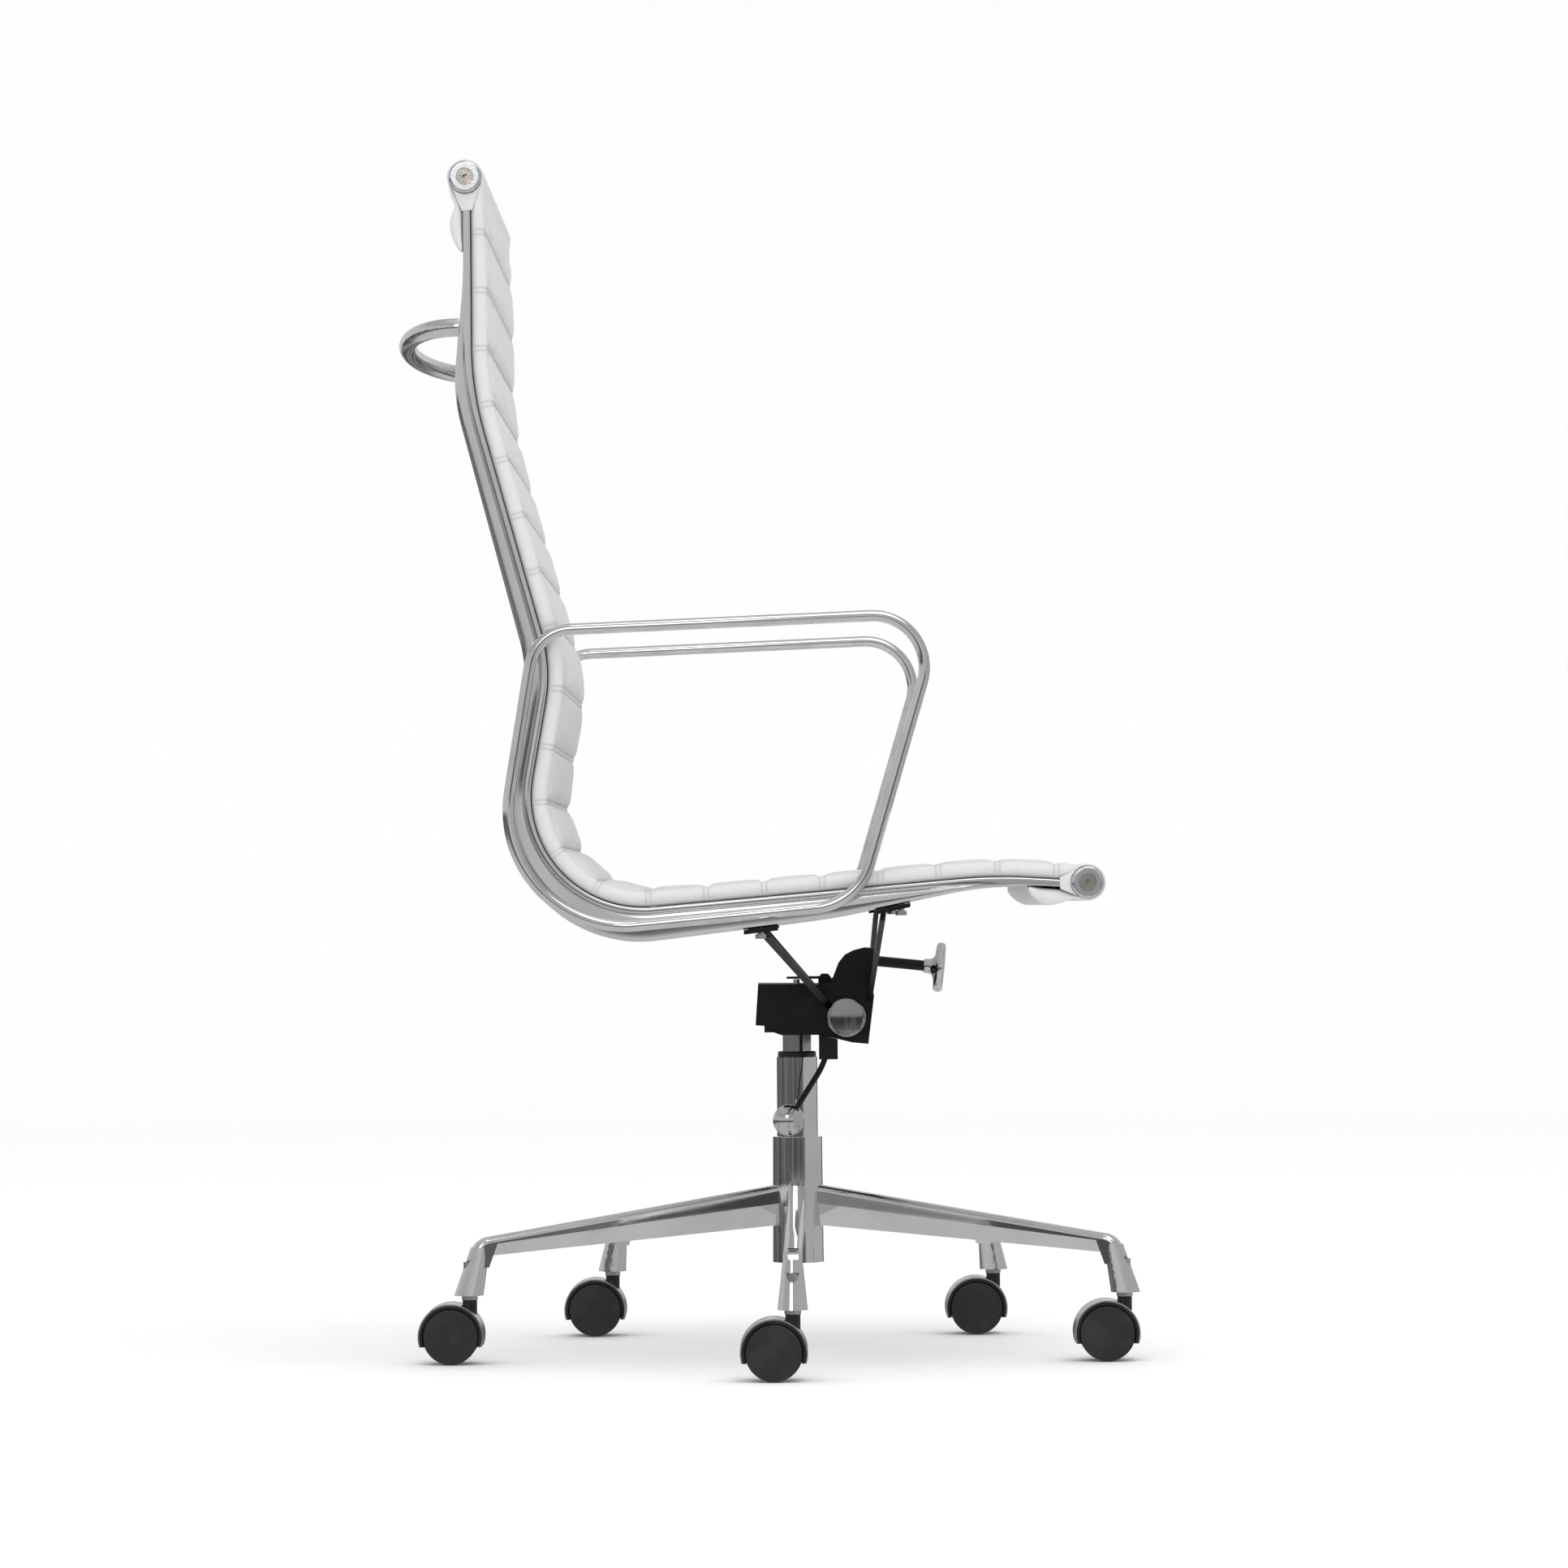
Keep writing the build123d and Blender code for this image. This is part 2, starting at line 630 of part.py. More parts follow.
# ---------------------------------------------------------------- five-legged base
# One leg is drawn in its own side view, (out from the axis, up), and repeated round the hub.
leg_plane = Plane(origin=(0, 0, 0), x_dir=(1, 0, 0), z_dir=(0, -1, 0))
foot_lean = 6.0
with BuildPart() as leg:
    with BuildSketch(leg_plane.offset(-8.5)):
        with BuildLine():
            Polyline((12, 156), (303, 111.6), (314, 86), (294, 86), (286, 107.5), (12, 139), close=True)
        make_face()
    extrude(amount=17)
    fillet(leg.edges().filter_by(Axis.Y).sort_by_distance((303, 0, 111.6))[0], radius=18)
    sides = leg.edges().filter_by(lambda e: abs(abs(e.center().Y) - 8.5) < 0.1)
    above_crease = sides.filter_by(lambda e: e.center().Z > 149 - 0.13 * e.center().X and
                                   e.center().X > 13)
    fillet(above_crease.filter_by(lambda e: e.center().X < 312), radius=5.0)
    for out, top, top_half, bottom, bottom_half in ((12, 141, 7.4, 118.6, 3.6), (291, 108.5, 6.6, 96.5, 4.2)):
        with BuildSketch(Plane.YZ.offset(out)):
            with BuildLine():
                Polyline((-top_half, top), (top_half, top), (bottom_half, bottom), (-bottom_half, bottom),
                         close=True)
            make_face()
    loft()
    with BuildSketch(Plane.XY.offset(socket_bottom)):
        with Locations((stem_circle + 1, 0)):
            Circle(13.2)
    with BuildSketch(Plane.XY.offset(104)):
        with Locations((stem_circle - foot_lean - 4, 0)):
            Circle(8.6)
    loft()
    with BuildSketch(Plane.XY.offset(socket_bottom)):
        with Locations((stem_circle, 0)):
            Circle(stem_radius + 0.08)
    extrude(amount=32, mode=Mode.SUBTRACT)

with BuildPart() as star_base:
    with BuildSketch(Plane.XY.offset(hub_bottom)):
        Circle(hub_radius + 0.4)
    with BuildSketch(Plane.XY.offset(hub_top)):
        Circle(hub_radius - 0.4)
    loft()
    with PolarLocations(0, leg_count, start_angle=first_leg):
        add(leg.part)
    with BuildSketch(Plane.XY.offset(hub_bottom + 4)):
        Circle(tube_radius + 0.02)
    extrude(amount=200, mode=Mode.SUBTRACT)
    with BuildSketch(Plane.XY.offset(hub_bottom)):
        Circle(15)
    extrude(amount=5, mode=Mode.SUBTRACT)
save(star_base.part, "star_base")

# ---------------------------------------------------------------- casters
for number in range(leg_count):
    angle = radians(first_leg + number * 360 / leg_count)
    stem_x = stem_circle * cos(angle)
    stem_y = stem_circle * sin(angle)
    axle_y = stem_y + caster_trail
    wheel_side = Plane(origin=(stem_x, axle_y, wheel_radius), x_dir=(0, -1, 0), z_dir=(-1, 0, 0))
    with BuildPart() as stem:
        with BuildSketch(Plane.XY.offset(49)):
            with Locations((stem_x, stem_y)):
                Circle(stem_radius)
        extrude(amount=91 - 49)
        with BuildSketch(Plane.XY.offset(57.2)):
            with Locations((stem_x, stem_y)):
                Circle(7.2)
        extrude(amount=3.4)
    with BuildPart() as hood:
        with BuildSketch(wheel_side.offset(-hood_half_width)):
            Circle(hood_radius - 1.3)
            with Locations((0, -30 - 9)):
                Rectangle(80, 60, mode=Mode.SUBTRACT)
        extrude(amount=2 * hood_half_width)
        with BuildSketch(Plane.XY.offset(44.5)):
            with Locations((stem_x, stem_y)):
                Circle(6.6)
        extrude(amount=12.6)
        for start in (-hood_half_width - 1, 3.2):
            with BuildSketch(wheel_side.offset(start)):
                Circle(wheel_radius + 0.5)
            extrude(amount=hood_half_width - 2.2, mode=Mode.SUBTRACT)
        with BuildSketch(Plane.XY.offset(48.9)):
            with Locations((stem_x, stem_y)):
                Circle(stem_radius + 0.02)
        extrude(amount=12, mode=Mode.SUBTRACT)
        with BuildSketch(wheel_side.offset(-30)):
            Circle(3.04)
        extrude(amount=60, mode=Mode.SUBTRACT)
    with BuildPart() as cover:
        with BuildSketch(wheel_side.offset(-hood_half_width)):
            Circle(hood_radius)
            Circle(hood_radius - 1.28, mode=Mode.SUBTRACT)
            with Locations((0, -30 - 9)):
                Rectangle(80, 60, mode=Mode.SUBTRACT)
        extrude(amount=2 * hood_half_width)
        with BuildSketch(Plane.XY.offset(40)):
            with Locations((stem_x, stem_y)):
                Circle(6.9)
        extrude(amount=20, mode=Mode.SUBTRACT)
    with BuildPart() as axle:
        with BuildSketch(wheel_side.offset(-21)):
            Circle(3.0)
        extrude(amount=42)
    with BuildPart() as wheels:
        for start in (-22.5, 3.7):
            with BuildSketch(wheel_side.offset(start)):
                Circle(wheel_radius)
            extrude(amount=18.8)
        fillet(wheels.edges().filter_by(lambda e: e.length > 6 * wheel_radius), radius=1.8)
        with BuildSketch(wheel_side.offset(-21.1)):
            Circle(3.06)
        extrude(amount=42.2, mode=Mode.SUBTRACT)
    for piece, name in ((stem, "stem"), (hood, "hood"), (cover, "cover"), (axle, "axle"),
                        (wheels, "wheels")):
        save(piece.part, "caster_" + str(number + 1) + "_" + name)
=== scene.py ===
"""Looks of the swivel office chair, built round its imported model. Metres, +Z up, the sitter faces -Y."""

from math import cos, pi, radians, sin

import bpy
import numpy as np
from mathutils import Matrix, Vector


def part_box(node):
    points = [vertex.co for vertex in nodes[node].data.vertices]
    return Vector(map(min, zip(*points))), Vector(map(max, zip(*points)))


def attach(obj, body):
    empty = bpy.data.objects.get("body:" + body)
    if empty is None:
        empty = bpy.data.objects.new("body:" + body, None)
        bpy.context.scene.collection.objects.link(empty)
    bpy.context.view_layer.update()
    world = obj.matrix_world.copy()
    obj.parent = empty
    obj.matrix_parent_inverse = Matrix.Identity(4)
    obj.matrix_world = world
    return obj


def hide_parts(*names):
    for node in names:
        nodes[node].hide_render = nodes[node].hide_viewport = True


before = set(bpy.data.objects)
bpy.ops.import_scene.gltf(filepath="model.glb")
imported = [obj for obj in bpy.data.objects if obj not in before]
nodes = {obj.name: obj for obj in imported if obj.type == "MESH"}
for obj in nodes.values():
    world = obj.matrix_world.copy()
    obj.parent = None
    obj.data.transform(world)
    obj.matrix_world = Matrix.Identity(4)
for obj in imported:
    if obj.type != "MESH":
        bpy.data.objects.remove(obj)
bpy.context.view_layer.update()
scene = bpy.context.scene

# ---------------------------------------------------------------- camera and studio
# A long lens level with the underside of the sling, square to the chair's right side, in a pale
# room: a light floor that runs into a light wall, a large soft box overhead and one at the side.
camera_distance = 5.50
camera_height = 0.413
camera_forward = 0.0044
camera_lens = 137.6
camera_pitch, camera_yaw, camera_roll = radians(1.133), radians(0.06), radians(0.40)

lens = bpy.data.cameras.new("camera")
lens.sensor_width, lens.lens, lens.clip_end = 36.0, camera_lens, 60.0
camera = bpy.data.objects.new("camera", lens)
scene.collection.objects.link(camera)
scene.camera = camera
square_on = Matrix(((0, 0, -1), (-1, 0, 0), (0, 1, 0))).to_4x4()
turn = Matrix.Rotation(camera_yaw, 4, "Y") @ Matrix.Rotation(camera_pitch, 4, "X")
camera_place = Matrix.Translation((-camera_distance, camera_forward, camera_height))
camera.matrix_world = camera_place @ square_on @ turn @ Matrix.Rotation(-camera_roll, 4, "Z")
scene.view_settings.view_transform = "Standard"


def add_object(name, corners, faces):
    """A smooth mesh object at the origin from an (n, 3) array of corners and a list of faces."""
    mesh = bpy.data.meshes.new(name)
    mesh.from_pydata(corners.tolist(), [], faces)
    mesh.polygons.foreach_set("use_smooth", np.ones(len(mesh.polygons), bool))
    piece = bpy.data.objects.new(name, mesh)
    scene.collection.objects.link(piece)
    return piece


def turned(profile, turns):
    """Corners and quads of a (radius, height) profile carried once round Z: x = r cos a, y = r sin a."""
    angle = np.linspace(0, 2 * pi, turns, endpoint=False)
    radius, height = np.array(profile).T
    ring = np.stack([np.outer(radius, np.cos(angle)), np.outer(radius, np.sin(angle)),
                     np.repeat(height[:, None], turns, 1)], -1)
    row, col = np.meshgrid(np.arange(len(radius) - 1), np.arange(turns), indexing="ij")
    after = (col + 1) % turns
    quads = np.stack([row * turns + col, row * turns + after, (row + 1) * turns + after,
                      (row + 1) * turns + col], -1)
    return ring.reshape(-1, 3), quads.reshape(-1, 4).tolist()


def studio_material(name, colour):
    """Plain matt colour for the floor and wall."""
    paint = bpy.data.materials.new(name)
    paint.use_nodes = True
    shader = paint.node_tree.nodes["Principled BSDF"]
    shader.inputs["Base Color"].default_value = (*colour, 1)
    shader.inputs["Roughness"].default_value = 0.9
    shader.inputs["Specular IOR Level"].default_value = 0.1
    return paint


floor_radius, floor_level = 5.9, -0.0005
cove_radius, wall_top = 2.6, 6.0
cove = [(floor_radius + cove_radius * sin(a), floor_level + cove_radius * (1 - cos(a)))
        for a in np.linspace(0, pi / 2, 14)]
floor = add_object("studio_floor", *turned([(0.001, floor_level), (floor_radius, floor_level)], 96))
wall = add_object("studio_wall", *turned(cove + [(floor_radius + cove_radius, wall_top)], 96))
pale = studio_material("pale_floor", (0.97, 0.97, 0.97))
floor.data.materials.append(pale)
wall.data.materials.append(pale)
floor.visible_glossy = wall.visible_glossy = False

world = bpy.data.worlds.new("pale_room")
scene.world = world
world.use_nodes = True
sky = world.node_tree
sky.nodes.clear()


def link(tree, source, target):
    """Joins an output socket to an input socket."""
    tree.links.new(target, source)


def ramp(tree, stops):
    """Ramp node with the given (place, grey) stops and straight lines between them."""
    node = tree.nodes.new("ShaderNodeValToRGB")
    cells = node.color_ramp.elements
    while len(cells) < len(stops):
        cells.new(0.5)
    for cell, (place, grey) in zip(cells, stops):
        cell.position = place
        cell.color = (grey, grey, grey, 1)
    return node


# What polished metal mirrors: a pale ceiling, a dark band of room just under the lens, broken by
# upright edges, and a grey wall ahead of the chair. Eyes and soft light see a plain pale room.
# The layers run up from the floor, by the upward part of the mirrored direction.
lowest_layer, highest_layer = -0.40, 1.0
wall_ahead_tone = (0.48, 0.49, 0.48, 1)
plain_room_tone = (1.08, 1.08, 1.08, 1)
where = sky.nodes.new("ShaderNodeTexCoord")
split = sky.nodes.new("ShaderNodeSeparateXYZ")
link(sky, where.outputs["Generated"], split.inputs[0])
height = sky.nodes.new("ShaderNodeMapRange")
height.inputs["From Min"].default_value = lowest_layer
height.inputs["From Max"].default_value = highest_layer
link(sky, split.outputs["Z"], height.inputs["Value"])
layers = ramp(sky, [(0.0, 0.60), (0.110, 0.48), (0.160, 0.16), (0.250, 0.06), (0.272, 0.08),
                    (0.284, 0.36), (0.300, 0.58), (0.464, 0.58), (0.600, 0.42), (0.800, 0.44),
                    (1.0, 0.72)])
link(sky, height.outputs[0], layers.inputs[0])
ahead = sky.nodes.new("ShaderNodeMapRange")
ahead.inputs["From Min"].default_value = -0.62
ahead.inputs["From Max"].default_value = -0.50
ahead.inputs["To Min"].default_value = 1.0
ahead.inputs["To Max"].default_value = 0.0
link(sky, split.outputs["Y"], ahead.inputs["Value"])
uprights = sky.nodes.new("ShaderNodeTexNoise")
uprights.inputs["Scale"].default_value = 3.2
uprights.inputs["Detail"].default_value = 3.0
stretch = sky.nodes.new("ShaderNodeMapping")
stretch.inputs["Scale"].default_value = (1.0, 1.0, 0.12)
link(sky, where.outputs["Generated"], stretch.inputs["Vector"])
link(sky, stretch.outputs[0], uprights.inputs["Vector"])
edges = ramp(sky, [(0.40, 0.05), (0.44, 0.30), (0.47, 0.02), (0.54, 0.02), (0.57, 0.40), (0.60, 0.05)])
link(sky, uprights.outputs["Fac"], edges.inputs[0])
broken = sky.nodes.new("ShaderNodeMix")
broken.data_type, broken.blend_type = "RGBA", "SCREEN"
broken.inputs[0].default_value = 0.55
link(sky, layers.outputs[0], broken.inputs[6])
link(sky, edges.outputs[0], broken.inputs[7])
lit = sky.nodes.new("ShaderNodeMix")
lit.data_type = "RGBA"
link(sky, ahead.outputs[0], lit.inputs[0])
link(sky, broken.outputs[2], lit.inputs[6])
lit.inputs[7].default_value = wall_ahead_tone
path = sky.nodes.new("ShaderNodeLightPath")
mirrored = sky.nodes.new("ShaderNodeBackground")
link(sky, lit.outputs[2], mirrored.inputs["Color"])
plain = sky.nodes.new("ShaderNodeBackground")
plain.inputs["Color"].default_value = plain_room_tone
choose = sky.nodes.new("ShaderNodeMixShader")
link(sky, path.outputs["Is Glossy Ray"], choose.inputs[0])
link(sky, plain.outputs[0], choose.inputs[1])
link(sky, mirrored.outputs[0], choose.inputs[2])
out = sky.nodes.new("ShaderNodeOutputWorld")
link(sky, choose.outputs[0], out.inputs[0])


def soft_box(name, place, size, power):
    """Square area light that faces the middle of the chair."""
    lamp = bpy.data.lights.new(name, "AREA")
    lamp.size, lamp.energy = size, power
    lamp_object = bpy.data.objects.new(name, lamp)
    scene.collection.objects.link(lamp_object)
    away = Vector(place) - Vector((0, 0, 0.5))
    facing = away.to_track_quat("Z", "Y").to_matrix().to_4x4()
    lamp_object.matrix_world = Matrix.Translation(place) @ facing


soft_box("overhead_box", (-1.2, -0.6, 3.0), 1.8, 16.0)
soft_box("side_box", (-3.4, 0.8, 2.2), 1.4, 12.0)

# ---------------------------------------------------------------- five-legged base
# One aluminium casting, ground, polished and chrome plated, on the tapered foot of the column.
# The plating mirrors the floor and dulls a little where hands and shoes touch it.


def new_material(name):
    """Material with its node tree, and its Principled shader."""
    made = bpy.data.materials.new(name)
    made.use_nodes = True
    return made, made.node_tree, made.node_tree.nodes["Principled BSDF"]


def finish_group(name, values):
    """Node group for a finish. Its inputs are named with their usual values, a number or a grey tone, and
    it puts out Colour, Roughness and Height. Returns it with its ends and its Object coordinates."""
    group = bpy.data.node_groups.new(name, "ShaderNodeTree")
    for socket, (kind, value) in values.items():
        made = group.interface.new_socket(name=socket, in_out="INPUT", socket_type="NodeSocket" + kind)
        made.default_value = (value, value, value, 1) if kind == "Color" else value
    for socket, kind in (("Colour", "Color"), ("Roughness", "Float"), ("Height", "Float")):
        group.interface.new_socket(name=socket, in_out="OUTPUT", socket_type="NodeSocket" + kind)
    ends = group.nodes.new("NodeGroupInput"), group.nodes.new("NodeGroupOutput")
    return group, *ends, group.nodes.new("ShaderNodeTexCoord").outputs["Object"]


def noise(tree, spot, scale, detail):
    """Noise texture on the given coordinates."""
    node = tree.nodes.new("ShaderNodeTexNoise")
    node.inputs["Scale"].default_value = scale
    node.inputs["Detail"].default_value = detail
    link(tree, spot, node.inputs["Vector"])
    return node


def mixed(tree, share, first, second):
    """Colour between two, by a share that varies; sockets 6 and 7 are the colour pair."""
    node = tree.nodes.new("ShaderNodeMix")
    node.data_type = "RGBA"
    link(tree, share, node.inputs[0])
    link(tree, first, node.inputs[6])
    link(tree, second, node.inputs[7])
    return node.outputs[2]


def emboss(tree, shader, height_of, strength, depth):
    """Fine relief: a bump from a height socket into the shader's normal."""
    node = tree.nodes.new("ShaderNodeBump")
    node.inputs["Strength"].default_value = strength
    node.inputs["Distance"].default_value = depth
    link(tree, height_of, node.inputs["Height"])
    link(tree, node.outputs[0], shader.inputs["Normal"])


def place_group(tree, group, values):
    """Puts a node group into a material with its own values."""
    node = tree.nodes.new("ShaderNodeGroup")
    node.node_tree = group
    for name, value in values.items():
        node.inputs[name].default_value = value
    return node


# Polish marks: slow clouds of haze and fine hairlines, for plated and ground metal.
polish, entry, leave, spot = finish_group("polish_marks", {
    "Clouds": ("Float", 18.0), "Bright Roughness": ("Float", 0.05), "Hazy Roughness": ("Float", 0.16),
    "Light Tone": ("Color", 0.8), "Dull Tone": ("Color", 0.7)})
clouds = noise(polish, spot, 18.0, 4.0)
link(polish, entry.outputs["Clouds"], clouds.inputs["Scale"])
hairs = noise(polish, spot, 900.0, 2.0)
cloud_range = ramp(polish, [(0.38, 0.0), (0.66, 1.0)])
link(polish, clouds.outputs["Fac"], cloud_range.inputs[0])
rough = polish.nodes.new("ShaderNodeMapRange")
link(polish, cloud_range.outputs[0], rough.inputs["Value"])
link(polish, entry.outputs["Bright Roughness"], rough.inputs["To Min"])
link(polish, entry.outputs["Hazy Roughness"], rough.inputs["To Max"])
tone = mixed(polish, cloud_range.outputs[0], entry.outputs["Light Tone"], entry.outputs["Dull Tone"])
link(polish, rough.outputs[0], leave.inputs["Roughness"])
link(polish, tone, leave.inputs["Colour"])
link(polish, hairs.outputs["Fac"], leave.inputs["Height"])


def metal(name, light, dull, bright, hazy, clouds_scale, bump):
    """Polished metal: full Metallic, with colour, haze and hairlines from the polish marks."""
    made, tree, shader = new_material(name)
    marks = place_group(tree, polish, {"Clouds": clouds_scale, "Bright Roughness": bright,
                                       "Hazy Roughness": hazy, "Light Tone": (*light, 1),
                                       "Dull Tone": (*dull, 1)})
    shader.inputs["Metallic"].default_value = 1.0
    link(tree, marks.outputs["Colour"], shader.inputs["Base Color"])
    link(tree, marks.outputs["Roughness"], shader.inputs["Roughness"])
    emboss(tree, shader, marks.outputs["Height"], bump, 0.0002)
    return made


def finish_nodes(material, *names):
    """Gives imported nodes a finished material."""
    for name in names:
        mesh = nodes[name].data
        mesh.materials.clear()
        mesh.materials.append(material)


base_chrome = metal("plated_casting", (0.74, 0.75, 0.74), (0.66, 0.67, 0.66), 0.035, 0.08, 14.0, 0.03)
finish_nodes(base_chrome, "star_base")

# ---------------------------------------------------------------- casters
# Twin moulded wheels under a hood that carries the stem; a thin silvered band is clipped over
# the hood. The wheels' outer discs have a fine spark-eroded grain and dust along their rims.
grain, entry, leave, spot = finish_group("moulded_grain", {
    "Size": ("Float", 1400.0), "Plain": ("Color", 0.02), "Dusty": ("Color", 0.06),
    "Smooth Roughness": ("Float", 0.4), "Dusty Roughness": ("Float", 0.7)})
pits = grain.nodes.new("ShaderNodeTexVoronoi")
link(grain, spot, pits.inputs["Vector"])
link(grain, entry.outputs["Size"], pits.inputs["Scale"])
dust = noise(grain, spot, 46.0, 6.0)
dust_range = ramp(grain, [(0.46, 0.0), (0.74, 1.0)])
link(grain, dust.outputs["Fac"], dust_range.inputs[0])
tone = mixed(grain, dust_range.outputs[0], entry.outputs["Plain"], entry.outputs["Dusty"])
rough = grain.nodes.new("ShaderNodeMapRange")
link(grain, dust_range.outputs[0], rough.inputs["Value"])
link(grain, entry.outputs["Smooth Roughness"], rough.inputs["To Min"])
link(grain, entry.outputs["Dusty Roughness"], rough.inputs["To Max"])
link(grain, tone, leave.inputs["Colour"])
link(grain, rough.outputs[0], leave.inputs["Roughness"])
link(grain, pits.outputs["Distance"], leave.inputs["Height"])


def plastic(name, plain_tone, dusty_tone, smooth, dusty, grain_size, bump, level=0.4):
    """Moulded plastic or paint: colour, roughness and fine relief from the moulded grain."""
    made, tree, shader = new_material(name)
    marks = place_group(tree, grain, {"Size": grain_size, "Plain": (*plain_tone, 1),
                                      "Dusty": (*dusty_tone, 1), "Smooth Roughness": smooth,
                                      "Dusty Roughness": dusty})
    shader.inputs["Specular IOR Level"].default_value = level
    link(tree, marks.outputs["Colour"], shader.inputs["Base Color"])
    link(tree, marks.outputs["Roughness"], shader.inputs["Roughness"])
    emboss(tree, shader, marks.outputs["Height"], bump, 0.0002)
    return made


wheel_plastic = plastic("wheel_plastic", (0.016, 0.017, 0.017), (0.030, 0.031, 0.031), 0.46, 0.62,
                        1500.0, 0.5)
hood_plastic = plastic("hood_plastic", (0.008, 0.008, 0.009), (0.016, 0.016, 0.016), 0.30, 0.46,
                       1900.0, 0.25)
band_silver = metal("silvered_band", (0.70, 0.71, 0.70), (0.58, 0.59, 0.58), 0.16, 0.30, 60.0, 0.15)
turned_steel = metal("turned_steel", (0.56, 0.56, 0.55), (0.42, 0.42, 0.41), 0.20, 0.36, 90.0, 0.6)
for number in range(1, 6):
    finish_nodes(wheel_plastic, f"caster_{number}_wheels")
    finish_nodes(hood_plastic, f"caster_{number}_hood")
    finish_nodes(band_silver, f"caster_{number}_cover")
    finish_nodes(turned_steel, f"caster_{number}_stem", f"caster_{number}_axle")

# ---------------------------------------------------------------- gas lift
# A chromed steel tube pressed into the base, with a black collar and guide sleeve at its mouth.
# The gas cylinder slides in the sleeve on its rod, which turns on a ball bearing at the foot.
tube_chrome = metal("plated_tube", (0.76, 0.77, 0.77), (0.68, 0.69, 0.69), 0.03, 0.07, 22.0, 0.03)
cylinder_steel = metal("dark_cylinder", (0.40, 0.40, 0.41), (0.36, 0.36, 0.37), 0.16, 0.22, 40.0, 0.3)
buffer_rubber = plastic("buffer_rubber", (0.018, 0.018, 0.018), (0.040, 0.039, 0.038), 0.62, 0.85,
                        700.0, 0.6, 0.3)
finish_nodes(tube_chrome, "column_tube")
finish_nodes(cylinder_steel, "gas_cylinder")
finish_nodes(turned_steel, "piston_rod", "valve_pin", "thrust_bearing", "retaining_clip")
finish_nodes(hood_plastic, "column_collar", "column_bushing")
finish_nodes(buffer_rubber, "rod_buffer")

# ---------------------------------------------------------------- tilt mechanism
# A folded steel box on the lift and a yoke that tips about its cross tube, both stove enamelled
# black, with flat struts up to the rails, chromed caps on the tube and a chromed tension knob.
enamel = plastic("black_enamel", (0.004, 0.004, 0.005), (0.007, 0.007, 0.008), 0.30, 0.38,
                 800.0, 0.30, 0.3)
finish_nodes(enamel, "tilt_housing", "tilt_yoke", "front_struts", "rear_struts", "lever_bracket",
             "lever_rod", "actuator_blade", "tension_bolt")
finish_nodes(turned_steel, "pivot_tube", "frame_bolts")


def outward(corners, faces):
    """The faces, turned round where the closed shape they make has a negative volume: the sum of
    a . (b - a) x (c - a) over the halves of its quads, with its corners measured from their middle."""
    quads = np.array([f for f in faces if len(f) == 4])
    a, b, c, d = (corners[quads[:, i]] - corners.mean(0) for i in range(4))
    volume = (np.cross(b - a, c - a) * a).sum() + (np.cross(c - a, d - a) * a).sum()
    return faces if volume > 0 else [f[::-1] for f in faces]


def turned_piece(name, profile, turns, start, axis, material):
    """Closed turned part: the profile's (distance along, radius) pairs carried round an axis from a
    start point, with a flat face over each end."""
    corners, quads = turned([(radius, along_axis) for along_axis, radius in profile], turns)
    first_end = list(range(turns))[::-1]
    last_end = list(range(len(corners) - turns, len(corners)))
    corners = corners @ np.array(Vector(axis).to_track_quat("Z", "Y").to_matrix()).T + np.array(start)
    piece = add_object(name, corners, outward(corners, [first_end, last_end] + quads))
    piece.data.materials.append(material)
    return piece


# Ball grip, drilled and pressed on the lever's end over a short ferrule.
low, high = (np.array(c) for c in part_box("lever_ball"))
ball_middle, ball_radius = (low + high) / 2, (high[0] - low[0]) / 2
ball_middle[2] = low[2] + ball_radius
# The ball's chrome is a little darker than the other plating: painted shade.
ball_chrome_painted_shade = metal("ball_chrome_painted_shade", (0.62, 0.62, 0.63), (0.54, 0.54, 0.55), 0.05, 0.10, 22.0, 0.03)
swing = np.linspace(0.03, pi - 0.03, 40)
lever_way = (0.30, -0.33, 0.90)
ball = turned_piece("lever_ball_grip", [(-ball_radius * cos(a), ball_radius * sin(a)) for a in swing],
                    64, ball_middle, lever_way, ball_chrome_painted_shade)
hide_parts("lever_ball")
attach(ball, "lever")

# Domed pressings on both ends of the cross tube: a rolled rim, a step and a shallow dome.
# The caps' chrome is darkened far below the other plating: painted shade, so that the caps read dark with a
# few bright glints.
painted_shade_chrome = metal("painted_shade_chrome", (0.40, 0.385, 0.39), (0.34, 0.325, 0.33), 0.05, 0.10, 22.0, 0.03)
dome_radius, dome_rise, dome_foot = 0.0150, 0.0009, 0.0033
cap_height = 0.005
dome = [(dome_foot + dome_rise * (1 - (r / dome_radius) ** 2), r)
        for r in np.linspace(dome_radius, 0.0004, 18)]
cap_profile = [(-0.0060, 0.0093), (0.0, 0.0093), (0.0, 0.0170), (0.0004, 0.0175), (0.0026, 0.0176),
               (0.0036, 0.0173), (0.0041, 0.0167), (0.0041, 0.0161), (0.0037, 0.0156),
               (dome_foot, 0.0153)] + dome
low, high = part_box("pivot_caps")
cap_places = []
for sign, name in ((-1, "right_pivot_cap"), (1, "left_pivot_cap")):
    start = (sign * (high[0] - cap_height), (low[1] + high[1]) / 2, (low[2] + high[2]) / 2)
    cap_places.append(turned_piece(name, cap_profile, 72, start, (sign, 0, 0), painted_shade_chrome))
for piece in cap_places:
    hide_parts("pivot_caps")
    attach(piece, "seat_frame")

